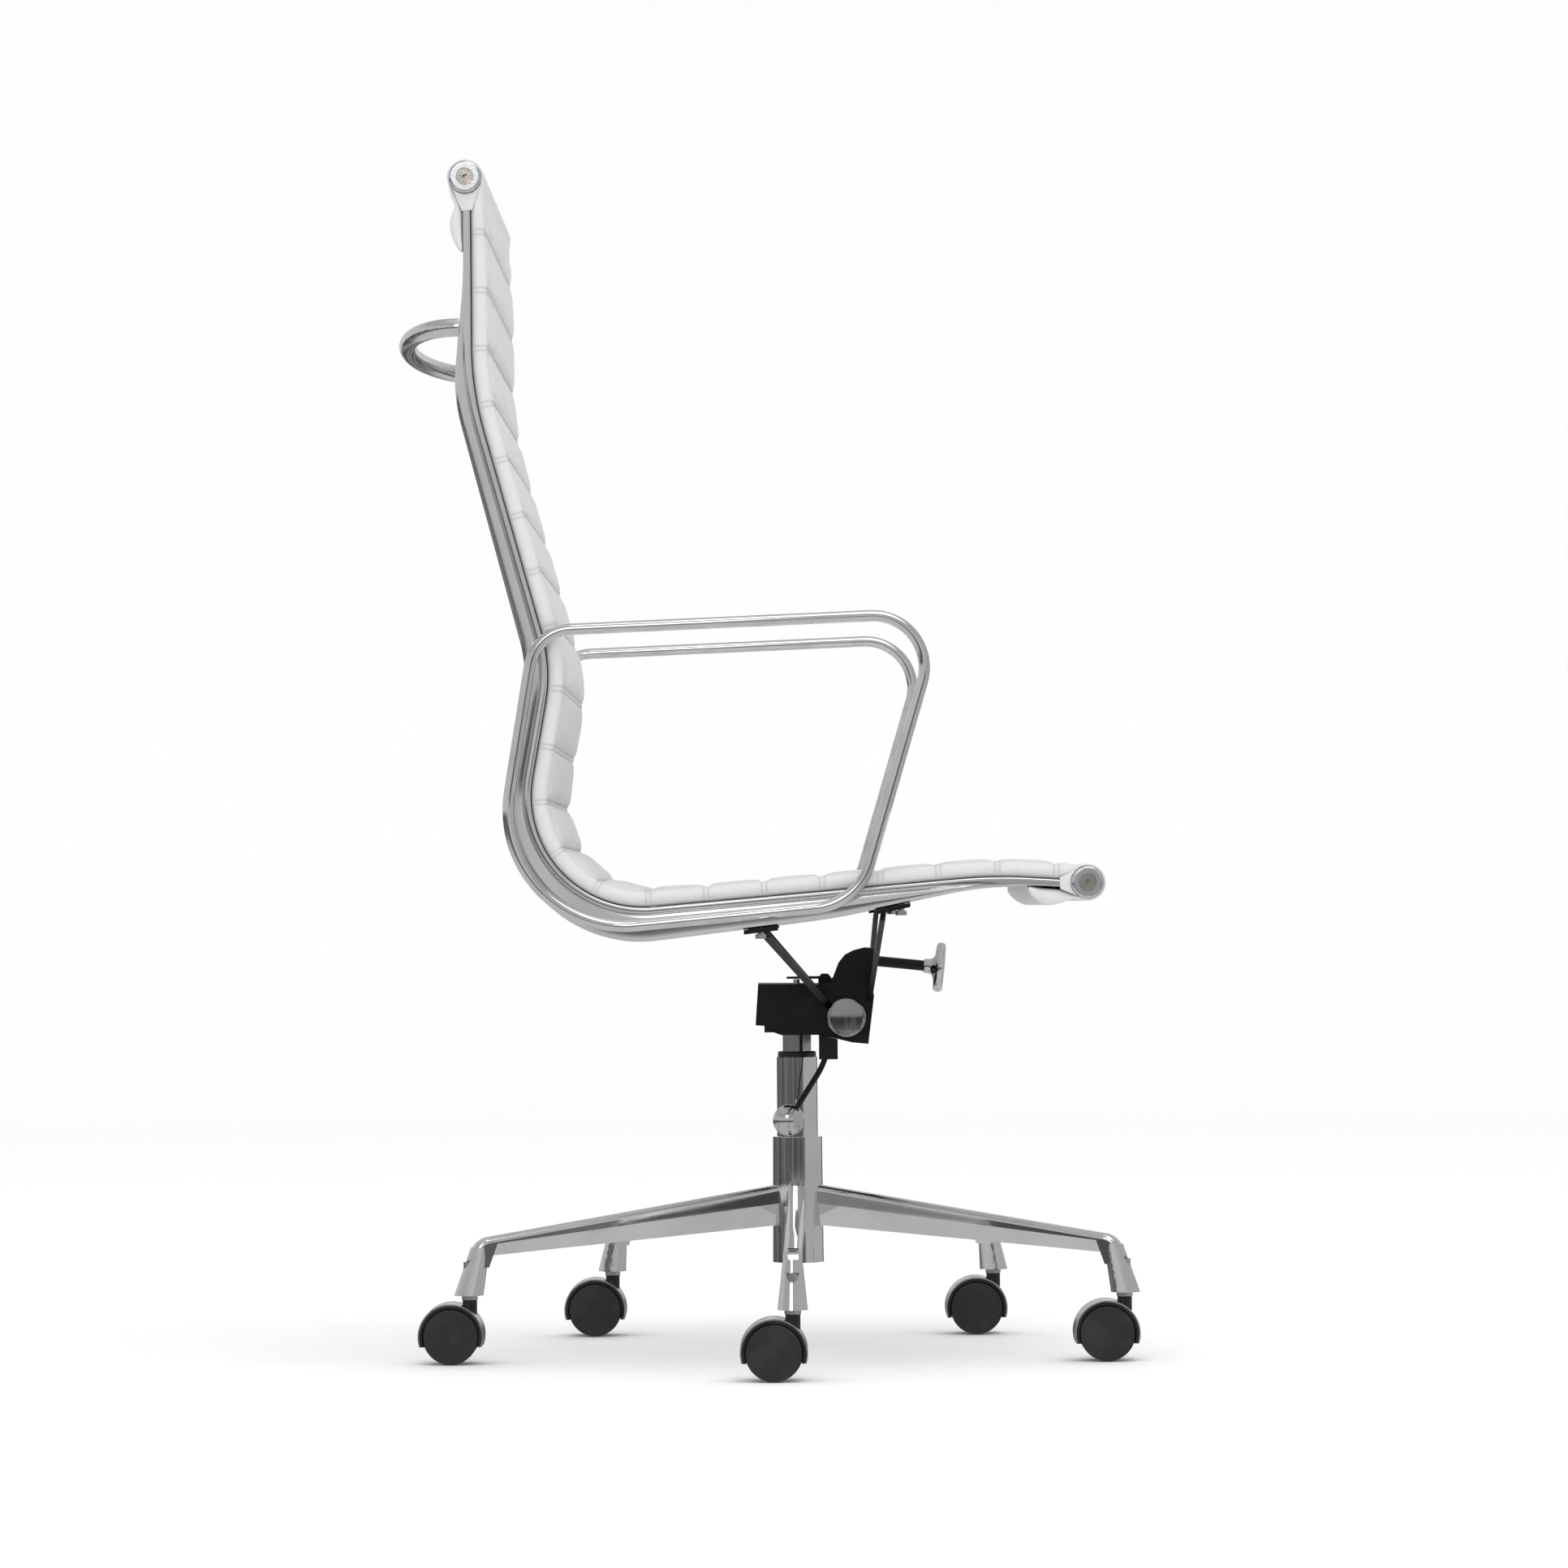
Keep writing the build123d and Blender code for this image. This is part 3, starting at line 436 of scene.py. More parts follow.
# Turned knob on the tension bolt: a flared neck, then a disc with a rolled edge and a dished face.
bolt_lean = radians(6.0)
bolt_axis = np.array((0, -cos(bolt_lean), -sin(bolt_lean)))
bolt_start = np.array((0, -0.058, 0.3604))
knob_along_bolt = 0.059
knob_profile = [(0.0, 0.0049), (0.0, 0.0060), (0.0004, 0.0063), (0.0040, 0.0066), (0.0070, 0.0072),
                (0.0088, 0.0086), (0.0096, 0.0110), (0.0101, 0.0150), (0.0106, 0.0200), (0.0116, 0.0218),
                (0.0130, 0.0226), (0.0148, 0.0227), (0.0166, 0.0224), (0.0180, 0.0214), (0.0187, 0.0200),
                (0.0188, 0.0180), (0.0182, 0.0150), (0.0179, 0.0110), (0.0178, 0.0050), (0.0178, 0.0004)]
knob = turned_piece("tension_knob_disc", knob_profile, 72, bolt_start + bolt_axis * knob_along_bolt,
                    bolt_axis, tube_chrome)
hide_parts("tension_knob")
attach(knob, "tension_screw")

# ---------------------------------------------------------------- side rails, arms and handle
# The rails are one-piece aluminium castings, ground and hand polished, with a groove along their
# outer face. Arm loops and the handle are bent from plated steel rod and screwed to the rails.
rail_polish = metal("polished_casting", (0.76, 0.76, 0.77), (0.68, 0.68, 0.69), 0.06, 0.14, 9.0, 0.08)
rod_chrome = metal("plated_rod", (0.74, 0.74, 0.75), (0.66, 0.66, 0.67), 0.04, 0.09, 26.0, 0.04)
cap_satin = metal("satin_cap", (0.76, 0.76, 0.78), (0.68, 0.68, 0.70), 0.10, 0.16, 120.0, 0.25)
screw_zinc = metal("zinc_screw", (0.56, 0.53, 0.49), (0.40, 0.38, 0.35), 0.20, 0.34, 240.0, 0.8)
finish_nodes(rod_chrome, "arm_right", "arm_left", "back_handle")
finish_nodes(cap_satin, "end_caps")
finish_nodes(screw_zinc, "cap_screws", "arm_screws")
finish_nodes(turned_steel, "top_bar", "front_bar")

# ---------------------------------------------------------------- leather sling
# White leather over foam, sewn across in channels and stretched between the rails. It is rolled
# round the bars at the top and the front, and its tails are sewn down behind them.
rail_line = [(-0.282, 1.051), (-0.282, 0.865), (-0.2135, 0.620), (-0.253, 0.399), (0.173, 0.435),
             (0.255, 0.430)]
rail_bends = [0.290, 0.135, 0.098, 0.450]
channel_pitch = 0.0511
first_seam = 0.0477
pad_half_width = 0.2505
top_roll = np.array((-0.286, 1.051))
front_roll = np.array((0.255, 0.429))
roll_radius = 0.0163
roll_inner = 0.0135


def rounded_line(corners, bends, spots):
    """Places, left-hand normals and curvatures at the given distances along straight runs that are joined
    by arcs, and the whole length. Each arc is tangent to both runs, so it starts r tan(turn / 2)
    before its corner."""
    corners = [np.array(c) for c in corners]
    directions = [(b - a) / np.linalg.norm(b - a) for a, b in zip(corners, corners[1:])]
    pieces = []
    at = corners[0]
    for i, radius in enumerate(bends):
        u, v = directions[i], directions[i + 1]
        turn_angle = np.arctan2(u[0] * v[1] - u[1] * v[0], u @ v)
        back = radius * np.tan(abs(turn_angle) / 2)
        end = corners[i + 1] - u * back
        pieces.append((at, u, np.linalg.norm(end - at), 0.0))
        pieces.append((end, u, radius * abs(turn_angle), np.sign(turn_angle) / radius))
        at = corners[i + 1] + v * back
    pieces.append((at, directions[-1], np.linalg.norm(corners[-1] - at), 0.0))
    place, normal, bend = np.zeros((len(spots), 2)), np.zeros((len(spots), 2)), np.zeros(len(spots))
    begin = 0.0
    for start, u, length, curve in pieces:
        chosen = (spots >= begin - 1e-9) & (spots <= begin + length + 1e-9)
        s = spots[chosen] - begin
        left = np.array((-u[1], u[0]))
        if curve:
            angle = s * curve
            place[chosen] = (start + np.outer(np.sin(angle) / curve, u)
                             + np.outer((1 - np.cos(angle)) / curve, left))
            normal[chosen] = np.outer(np.cos(angle), left) - np.outer(np.sin(angle), u)
            bend[chosen] = curve
        else:
            place[chosen] = start + np.outer(s, u)
            normal[chosen] = left
            bend[chosen] = 0.0
        begin += length
    return place, normal, bend, begin


def curved(points, count):
    """Smooth curve through given points: Catmull-Rom, p = cubic in t between each pair."""
    p = np.array(points)
    p = np.vstack([2 * p[0] - p[1], p, 2 * p[-1] - p[-2]])
    t = np.linspace(0, len(points) - 1, count)
    i = np.minimum(t.astype(int), len(points) - 2)
    f = (t - i)[:, None]
    a, b, c, d = p[i], p[i + 1], p[i + 2], p[i + 3]
    return 0.5 * (2 * b + (c - a) * f + (2 * a - 5 * b + 4 * c - d) * f**2 + (3 * b - a - 3 * c + d) * f**3)


def arc(centre, radius, start, end, count):
    """Arc of a roll in the side view, angles in degrees."""
    angle = np.radians(np.linspace(start, end, count))
    return centre + radius * np.stack([np.cos(angle), np.sin(angle)], -1)


line_length = rounded_line(rail_line, rail_bends, np.zeros(1))[3]
pad_start, pad_end = 0.026, line_length - 0.018
pad_end_margin = 0.008
seams = np.arange(first_seam, pad_end - pad_end_margin, channel_pitch)
beside_seam = np.array([-4.8, -3.6, -2.8, -2.1, -1.4, -0.7, 0, 0.7, 1.4, 2.1, 2.8, 3.6, 4.8]) / 1000
clear_of_seam = 0.0078
in_channel = np.linspace(clear_of_seam, channel_pitch - clear_of_seam, 10)
along = np.sort(np.concatenate([
    (seams[:, None] + beside_seam).ravel(), (seams[:-1, None] + in_channel).ravel(),
    np.linspace(pad_start, seams[0] - clear_of_seam, 5),
    np.linspace(seams[-1] + clear_of_seam, pad_end, 3)]))
rows = len(along)
rail_edge, toward_sitter, _, _ = rounded_line(rail_line, rail_bends, along)
to_seam = np.abs(along[:, None] - seams[None]).min(1)
between = np.clip(to_seam / (channel_pitch / 2), 0, 1)
even = np.linspace(0, line_length - 1e-6, 600)
tightest_bend = 0.098
even_bend = np.clip(rounded_line(rail_line, rail_bends, even)[2] * tightest_bend, 0, 1)
even_bend = np.convolve(np.pad(even_bend, 20, mode="edge"), np.ones(41) / 41, "valid")
smooth_bend = np.interp(along, even, even_bend)
stitch_from_seam = 0.0021


def bell(distance, width):
    """exp(-(distance / width)^2)"""
    return np.exp(-((distance / width) ** 2))


def welt(distance):
    """Depth of the double seam at a distance from its middle: two narrow grooves beside a low welt,
    each a bell, in a wider and shallower one."""
    return 0.0012 * bell(distance - stitch_from_seam, 0.0009) + 0.0003 * bell(distance, 0.006)


def eased(value, low, high):
    """0 below low, 1 above high, and a smooth cubic between them."""
    t = np.clip((value - low) / (high - low), 0, 1)
    return t * t * (3 - 2 * t)


pad_edge_thickness, pad_extra_thickness, pad_taper = 0.0115, 0.0025, 0.07
pad_thick = pad_edge_thickness + pad_extra_thickness * eased(along, pad_start, pad_start + pad_taper)
pillow = (1 - (1 - between) ** 3.6) * (0.0010 + 0.0038 * smooth_bend)
groove = welt(to_seam)

tail_rows, roll_rows, ease_rows = 26, 44, 16
tail_outer = curved([(-0.2905, 0.987), (-0.2950, 0.992), (-0.2995, 1.005), (-0.2995, 1.016),
                     (-0.2955, 1.026), (-0.2990, 1.036), top_roll - (roll_radius, 0)], tail_rows)[:-1]
tail_inner = curved([(-0.2889, 0.987), (-0.2889, 1.010), (-0.2892, 1.030), (-0.2960, 1.040),
                     top_roll - (roll_inner, 0)], tail_rows)[:-1]
top_outer = arc(top_roll, roll_radius, 180, 0, roll_rows)
top_inner = arc(top_roll, roll_inner, 180, 0, roll_rows)
pad_inner = rail_edge + toward_sitter * 0.0004
pad_outer = rail_edge + toward_sitter * pad_thick[:, None]
drop_outer = curved([top_outer[-1], top_outer[-1] + (-0.0012, -0.010),
                     pad_outer[0] + (0.0, 0.006), pad_outer[0]], ease_rows)[1:-1]
drop_inner = curved([top_inner[-1], top_inner[-1] + (-0.0030, -0.010),
                     pad_inner[0] + (0.0, 0.006), pad_inner[0]], ease_rows)[1:-1]
lead_outer = curved([pad_outer[-1], pad_outer[-1] + (0.006, -0.0002), front_roll + (-0.004, 0.0161),
                     front_roll + (0, roll_radius)], ease_rows)[1:-1]
lead_inner = curved([pad_inner[-1], pad_inner[-1] + (0.004, 0.001), front_roll + (-0.006, 0.0125),
                     front_roll + (0, roll_inner)], ease_rows)[1:-1]
front_outer = arc(front_roll, roll_radius, 90, -90, roll_rows)
front_inner = arc(front_roll, roll_inner, 90, -90, roll_rows)
under_outer = curved([front_roll - (0, roll_radius), (0.2430, 0.4140), (0.2330, 0.4112), (0.2220, 0.4090),
                      (0.2130, 0.4120), (0.2060, 0.4180), (0.2030, 0.4235)], tail_rows)[1:]
under_inner = curved([front_roll - (0, roll_inner), (0.2440, 0.4190), (0.2350, 0.4222), (0.2150, 0.4240),
                      (0.2045, 0.4252)], tail_rows)[1:]
outer = np.vstack([tail_outer, top_outer, drop_outer, pad_outer, lead_outer, front_outer, under_outer])
inner = np.vstack([tail_inner, top_inner, drop_inner, pad_inner, lead_inner, front_inner, under_inner])
before = len(tail_outer) + len(top_outer) + len(drop_outer)
after_pad = len(outer) - before - rows
swell = np.concatenate([np.zeros(before), pillow, np.zeros(after_pad)])
cut = np.concatenate([np.zeros(before), groove, np.zeros(after_pad)])
seam_place = np.concatenate([np.full(before, 0.05), to_seam, np.full(after_pad, 0.05)])
on_roll = np.ones(len(outer))
on_roll[before:before + rows] = 1 - (eased(along, pad_start, pad_start + 0.03)
                                     * (1 - eased(along, pad_end - 0.02, pad_end)))
tail_end = np.zeros(len(outer))
tail_end[:tail_rows] = 1 - eased(np.arange(tail_rows), 0, 14)
under_end = np.zeros(len(outer))
under_end[-tail_rows:] = eased(np.arange(tail_rows), tail_rows - 12, tail_rows - 1)


def loops(count, loop):
    """Faces of a closed tube: quads between its rows of corners, and one face over each end."""
    row, col = np.meshgrid(np.arange(count - 1), np.arange(loop), indexing="ij")
    nxt = (col + 1) % loop
    quads = np.stack([row * loop + col, (row + 1) * loop + col, (row + 1) * loop + nxt, row * loop + nxt], -1)
    last_end = list(range((count - 1) * loop, count * loop))[::-1]
    return quads.reshape(-1, 4).tolist() + [list(range(loop)), last_end]


def strap(face, back, half_width, edge_round, face_columns, back_columns, edge_steps):
    """Closed strap: each row is a loop across the width, over the face, round one rounded edge, along the
    back and round the other edge; rows run from the top tail to the front tail. A point is
    back + q (face - back) in the side view, with q from 0 at the back to 1 on the face.
    Returns the corners and faces, and q and the sideways place of each corner."""
    reach = half_width - edge_round
    x_face = np.linspace(-1, 1, face_columns)
    x_back = np.linspace(1, -1, back_columns)
    angle = np.linspace(pi / 2, -pi / 2, edge_steps + 2)[1:-1]
    bulge, lift = np.cos(angle), 0.5 + 0.5 * np.sin(angle)
    run = np.concatenate([x_face, np.ones(edge_steps), x_back, -np.ones(edge_steps)])
    out_by = np.concatenate([np.zeros(face_columns), bulge, np.zeros(back_columns), -bulge[::-1]])
    q = np.concatenate([np.ones(face_columns), lift, np.zeros(back_columns), lift[::-1]])
    x = reach[:, None] * run[None] + edge_round[:, None] * out_by[None]
    side_place = back[:, None, :] + q[None, :, None] * (face - back)[:, None, :]
    corners = np.dstack([x, -side_place[..., 0], side_place[..., 1]])
    return corners, loops(len(face), len(run)), q, x


half_width = pad_half_width + 0.0023 * on_roll
edge_round = np.minimum(0.0062, 0.62 * np.linalg.norm(outer - inner, axis=1))
corners, faces, q_of, x_of = strap(outer, inner, half_width, edge_round, 76, 30, 7)
facing = (outer - inner) / np.linalg.norm(outer - inner, axis=1)[:, None]
facing = np.stack([np.zeros(len(outer)), -facing[:, 0], facing[:, 1]], -1)
side_soft = 0.15 + 0.85 * (1 - eased(np.abs(x_of), 0.200, 0.2500))
side_cut = 0.45 + 0.55 * (1 - eased(np.abs(x_of), 0.225, 0.2500))
lift_of = q_of[None, :] * (swell[:, None] * side_soft - cut[:, None] * side_cut)
corners = corners + lift_of[..., None] * facing[:, None, :]
sewn_in = 1 - eased(np.abs(x_of), 0.2290, 0.2350)
tail_tuck = 0.0042
corners[..., 1] -= tail_tuck * sewn_in * tail_end[:, None]
corners[..., 2] += tail_tuck * sewn_in * under_end[:, None]
# Painted shade for the seams: a dark line down each stitch groove and a faint wide one over the seam, on the
# face side only, stored below as the seam attribute.
painted_seam_shade = 0.85 * bell(seam_place - stitch_from_seam, 0.0008) + 0.15 * bell(seam_place, 0.004)
seam_shade_amount = np.repeat(painted_seam_shade[:, None], corners.shape[1], 1) * (q_of[None] > 0.2)
leather_shape = corners.reshape(-1, 3)
leather_faces = outward(leather_shape, faces)
padding = add_object("leather_sling", leather_shape, leather_faces)


def fill_with_air(piece, held, frames, most):
    """Cloth under light pressure with its seams held, so that the leather swells and puckers
    between them; no point may end further than `most` from where it was."""
    group = piece.vertex_groups.new(name="held")
    levels = np.round(held, 2)
    for level in np.unique(levels):
        if level > 0:
            group.add(np.nonzero(levels == level)[0].tolist(), float(level), "REPLACE")
    cloth = piece.modifiers.new("cloth", "CLOTH")
    settings = cloth.settings
    settings.quality = 4
    settings.mass = 0.25
    settings.tension_stiffness = settings.compression_stiffness = 12
    settings.shear_stiffness = 8
    settings.bending_stiffness = 0.6
    settings.use_pressure = True
    settings.uniform_pressure_force = 4.0
    settings.effector_weights.gravity = 0.0
    settings.vertex_group_mass = "held"
    settings.shrink_min = -0.035
    cloth.point_cache.frame_start, cloth.point_cache.frame_end = 1, frames
    for number in range(1, frames + 1):
        scene.frame_set(number)
    posed = piece.evaluated_get(bpy.context.evaluated_depsgraph_get())
    blown = np.empty(len(piece.data.vertices) * 3, np.float32)
    posed.data.vertices.foreach_get("co", blown)
    piece.modifiers.remove(cloth)
    piece.vertex_groups.remove(group)
    scene.frame_set(1)
    was = np.empty_like(blown)
    piece.data.vertices.foreach_get("co", was)
    move = (blown - was).reshape(-1, 3)
    far = np.linalg.norm(move, axis=1)
    move *= (np.minimum(far, most) / np.maximum(far, 1e-9))[:, None]
    piece.data.vertices.foreach_set("co", (was.reshape(-1, 3) + move).ravel())
    piece.data.update()


on_pad = np.zeros(len(outer))
on_pad[before:before + rows] = eased(to_seam, 0.0030, 0.0080)
free = on_pad[:, None] * (q_of[None] > 0.99) * (1 - eased(np.abs(x_of), 0.236, 0.243))
fill_with_air(padding, (1 - free).ravel(), frames=18, most=0.0017)

# The painted seam shade goes to the leather as the seam attribute.
seam_shade_mask = padding.data.attributes.new("seam", "FLOAT", "POINT")
seam_shade_mask.data.foreach_set("value", seam_shade_amount.ravel().astype(np.float32))

# Leather grain: rounded pebbles crossed by fine creases, paler on the pebbles and a little greyer in the
# creases. The darker lines along the seams are painted shade, laid on by the leather material from the seam
# attribute.
hide, entry, leave, spot = finish_group("hide_grain", {
    "Pebble Size": ("Float", 650.0), "Clean": ("Color", 0.84), "Creased": ("Color", 0.72)})
pebbles = hide.nodes.new("ShaderNodeTexVoronoi")
pebbles.feature = "SMOOTH_F1"
link(hide, spot, pebbles.inputs["Vector"])
link(hide, entry.outputs["Pebble Size"], pebbles.inputs["Scale"])
creases = noise(hide, spot, 130.0, 5.0)
creases.inputs["Distortion"].default_value = 0.8
patches = noise(hide, spot, 7.0, 3.0)
worn = ramp(hide, [(0.42, 0.0), (0.60, 0.35), (0.80, 1.0)])
link(hide, creases.outputs["Fac"], worn.inputs[0])
shade = hide.nodes.new("ShaderNodeMath")
shade.operation = "MULTIPLY"
link(hide, worn.outputs[0], shade.inputs[0])
link(hide, patches.outputs["Fac"], shade.inputs[1])
tone = mixed(hide, shade.outputs[0], entry.outputs["Clean"], entry.outputs["Creased"])
rough = hide.nodes.new("ShaderNodeMapRange")
rough.inputs["To Min"].default_value = 0.36
rough.inputs["To Max"].default_value = 0.54
link(hide, patches.outputs["Fac"], rough.inputs["Value"])
pebbled = hide.nodes.new("ShaderNodeMath")
pebbled.operation = "MULTIPLY_ADD"
pebbled.inputs[1].default_value = 0.7
link(hide, creases.outputs["Fac"], pebbled.inputs[0])
link(hide, pebbles.outputs["Distance"], pebbled.inputs[2])
link(hide, tone, leave.inputs["Colour"])
link(hide, rough.outputs[0], leave.inputs["Roughness"])
link(hide, pebbled.outputs[0], leave.inputs["Height"])


def leather(name, clean, creased, seam_shade_tone, bump):
    """White leather: grain and creases from the hide group, with painted shade in the seam grooves: darker
    where the seam attribute is high.
    """
    made, tree, shader = new_material(name)
    marks = place_group(tree, hide, {"Clean": (*clean, 1), "Creased": (*creased, 1)})
    sewn = tree.nodes.new("ShaderNodeAttribute")
    sewn.attribute_name = "seam"
    mix = tree.nodes.new("ShaderNodeMix")
    mix.data_type = "RGBA"
    link(tree, sewn.outputs["Fac"], mix.inputs[0])
    link(tree, marks.outputs["Colour"], mix.inputs[6])
    mix.inputs[7].default_value = (*seam_shade_tone, 1)
    link(tree, mix.outputs[2], shader.inputs["Base Color"])
    link(tree, marks.outputs["Roughness"], shader.inputs["Roughness"])
    emboss(tree, shader, marks.outputs["Height"], bump, 0.0003)
    shader.inputs["Sheen Weight"].default_value = 0.08
    shader.inputs["Specular IOR Level"].default_value = 0.42
    return made


leather_clean = (0.66, 0.66, 0.655)
leather_creased = (0.60, 0.60, 0.59)
# The seam tone is painted shade for the seam grooves.
leather_seam_shade = (0.49, 0.49, 0.48)
white_leather = leather("white_leather", leather_clean, leather_creased, leather_seam_shade, 0.20)
padding.data.materials.append(white_leather)
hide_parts("sling")
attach(padding, "seat_frame")

# ---------------------------------------------------------------- side rails
# One-piece aluminium castings, ground and polished by hand: a round bead along the front edge, a
# groove behind it, and a crowned flange that deepens through the bends where the load is.
rear_line = [(-0.2883, 1.051), (-0.2883, 0.962), (-0.298, 0.860), (-0.234, 0.619), (-0.280, 0.3615),
             (0.035, 0.399), (0.150, 0.423), (0.200, 0.427), (0.255, 0.424)]
rear_bends = [0.400, 0.145, 0.120, 0.118, 0.600, 0.300, 0.300]
rail_outer, rail_inner = 0.253, 0.237
edge_radius, rear_edge_radius = 0.0016, 0.0030
groove_from_edge, groove_depth = 0.0061, 0.0014
crown_rise, bead_rise, bead_middle = 0.0011, 0.00045, 0.0027

rail_spots = np.linspace(0, line_length - 1e-6, 420)
rail_front_edge, rail_normal, _, _ = rounded_line(rail_line, rail_bends, rail_spots)
rear_length = rounded_line(rear_line, rear_bends, np.zeros(1))[3]
rear_points = rounded_line(rear_line, rear_bends, np.linspace(0, rear_length - 1e-6, 5200))[0]
rail_tangent = np.stack([rail_normal[:, 1], -rail_normal[:, 0]], -1)
offset = rear_points[None] - rail_front_edge[:, None]
beside = np.abs((offset * rail_tangent[:, None]).sum(-1))
depth_to = -(offset * rail_normal[:, None]).sum(-1)
beside[(depth_to < 0.002) | (depth_to > 0.075)] = 1.0
nearest = beside.argmin(1)
rail_depth = depth_to[np.arange(len(rail_spots)), nearest]
rail_depth = np.convolve(np.pad(rail_depth, 3, mode="edge"), np.ones(7) / 7, "valid")


def rail_section(depth):
    """Section of the rail at each depth: columns of distance behind the front edge, and of inset from the
    outer face. Inset = rounded edges (circle arcs) + bead (shallow parabola) + groove (flat-bottomed
    bell) + crowned flange (parabola about its middle)."""
    near = np.concatenate([edge_radius * (1 - np.cos(np.linspace(0, pi / 2, 6))),
                           np.linspace(0.0022, 0.0046, 6), np.linspace(0.0050, 0.0074, 13)])
    scale = np.minimum(1.0, depth / 0.0110)
    d_near = near[None] * scale[:, None]
    rest = depth[:, None] - d_near[:, -1:]
    d_far = d_near[:, -1:] + rest * np.linspace(0, 1, 18)[None, 1:] ** 0.85
    d = np.hstack([d_near, d_far])
    rear_radius = np.minimum(rear_edge_radius, depth / 4)[:, None]
    ahead = np.clip(edge_radius - d, 0, None)
    front_round = edge_radius - np.sqrt(np.clip(edge_radius**2 - ahead**2, 0, None))
    behind = np.clip(rear_radius - (depth[:, None] - d), 0, None)
    rear_round = rear_radius - np.sqrt(np.clip(rear_radius**2 - behind**2, 0, None))
    bead = bead_rise * np.clip((d - bead_middle) / bead_middle, -1, 1) ** 2 * (d < groove_from_edge)
    wide = eased(depth, 0.0085, 0.0150)[:, None]
    groove_here = groove_depth * np.exp(-(((d - groove_from_edge) / 0.0008) ** 4)) * wide
    middle = (groove_from_edge + depth[:, None]) / 2
    half_flange = np.maximum(middle - groove_from_edge, 1e-4)
    crown = crown_rise * np.clip((d - middle) / half_flange, -1, 1) ** 2 * wide * (d >= groove_from_edge)
    return d, front_round + rear_round + bead * wide + groove_here + crown


def rail(name, sign):
    """Loops across the rail: over the outer face from the front edge to the rear edge, then back along
    the inner face."""
    d, inset = rail_section(rail_depth)
    back_d = rail_depth[:, None] * np.concatenate([[0.995], np.linspace(0.9, 0.1, 6), [0.005]])[None]
    ease_in = np.array([0.0010, 0, 0, 0, 0, 0, 0, 0.0010])[None]
    d_all = np.hstack([d, back_d])
    x_all = np.hstack([rail_outer - inset, np.broadcast_to(rail_inner + ease_in, back_d.shape)])
    place = rail_front_edge[:, None] - rail_normal[:, None] * d_all[..., None]
    corners = np.dstack([sign * x_all, -place[..., 0], place[..., 1]])
    shape = corners.reshape(-1, 3)
    piece = add_object(name, shape, outward(shape, loops(*d_all.shape)))
    piece.data.materials.append(rail_polish)
    return piece


for name, sign, node in (("right_rail_casting", -1, "rail_right"), ("left_rail_casting", 1, "rail_left")):
    casting = rail(name, sign)
    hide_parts(node)
    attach(casting, "seat_frame")

# ---------------------------------------------------------------- leather at the roll ends
# Where the front and the tail of the leather meet beside each end cap they are folded over the
# rail's end and glued, a small soft gusset that narrows to the rail.
gusset_columns, gusset_rows = 22, 14
gusset_start_radius = 0.0145
gusset_thickness = 0.0030
gusset_face, gusset_back = rail_outer + 0.0001, rail_outer + 0.00005


def gusset(centre, towards, spread, tip, tip_half, sign):
    """Soft wedge from an arc round the roll's centre to a narrow tip on the rail. In the side view a point
    is (1 - b) arc(a) + b tip(a), with a across and b along; it stands out from the rail by a half sine
    across and falls off along b. The back is flat on the rail."""
    a, b = np.meshgrid(np.linspace(0, 1, gusset_columns), np.linspace(0, 1, gusset_rows))
    angle = towards + (2 * a - 1) * spread
    arc_side = centre + gusset_start_radius * np.stack([np.cos(angle), np.sin(angle)], -1)
    ahead_of = np.array((cos(towards), sin(towards)))
    across = np.array((-ahead_of[1], ahead_of[0]))
    tip_side = centre + ahead_of * tip + (2 * a - 1)[..., None] * across * tip_half
    side_place = (1 - b[..., None]) * arc_side + b[..., None] * tip_side
    crease = 0.0003 * np.sin(26 * a + 9 * b) * (1 - b)
    thickness = gusset_thickness * (1 - b**2) + 0.0004
    out = gusset_face + thickness * np.sin(pi * a) ** 0.45 + crease * np.sin(pi * a)
    top = np.dstack([sign * out, -side_place[..., 0], side_place[..., 1]]).reshape(-1, 3)
    under = top.copy()
    under[:, 0] = sign * gusset_back
    n, m = gusset_rows, gusset_columns
    row, col = np.meshgrid(np.arange(n - 1), np.arange(m - 1), indexing="ij")
    upper = np.stack([row * m + col, row * m + col + 1, (row + 1) * m + col + 1, (row + 1) * m + col], -1)
    upper = upper.reshape(-1, 4)
    rim = np.concatenate([np.arange(m), np.arange(1, n) * m + m - 1, (n - 1) * m + np.arange(m - 2, -1, -1),
                          np.arange(n - 2, 0, -1) * m])
    after = np.roll(rim, -1)
    lower = upper[:, ::-1] + n * m
    wall_faces = np.stack([after, rim, rim + n * m, after + n * m], -1)
    return np.vstack([top, under]), np.vstack([upper, lower, wall_faces])


gusset_shapes, gusset_faces, count = [], [], 0
gusset_places = ((top_roll, radians(-87), radians(64), 0.0290, 0.0046),
                 (front_roll, radians(181.7), radians(62), 0.0240, 0.0050))
for place_and_size in gusset_places:
    for sign in (-1, 1):
        shape, gusset_quads = gusset(*place_and_size, sign)
        gusset_faces += [[i + count for i in f] for f in outward(shape, gusset_quads.tolist())]
        gusset_shapes.append(shape)
        count += len(shape)
roll_ends = add_object("roll_end_folds", np.vstack(gusset_shapes), gusset_faces)
roll_ends.data.materials.append(white_leather)
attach(roll_ends, "seat_frame")

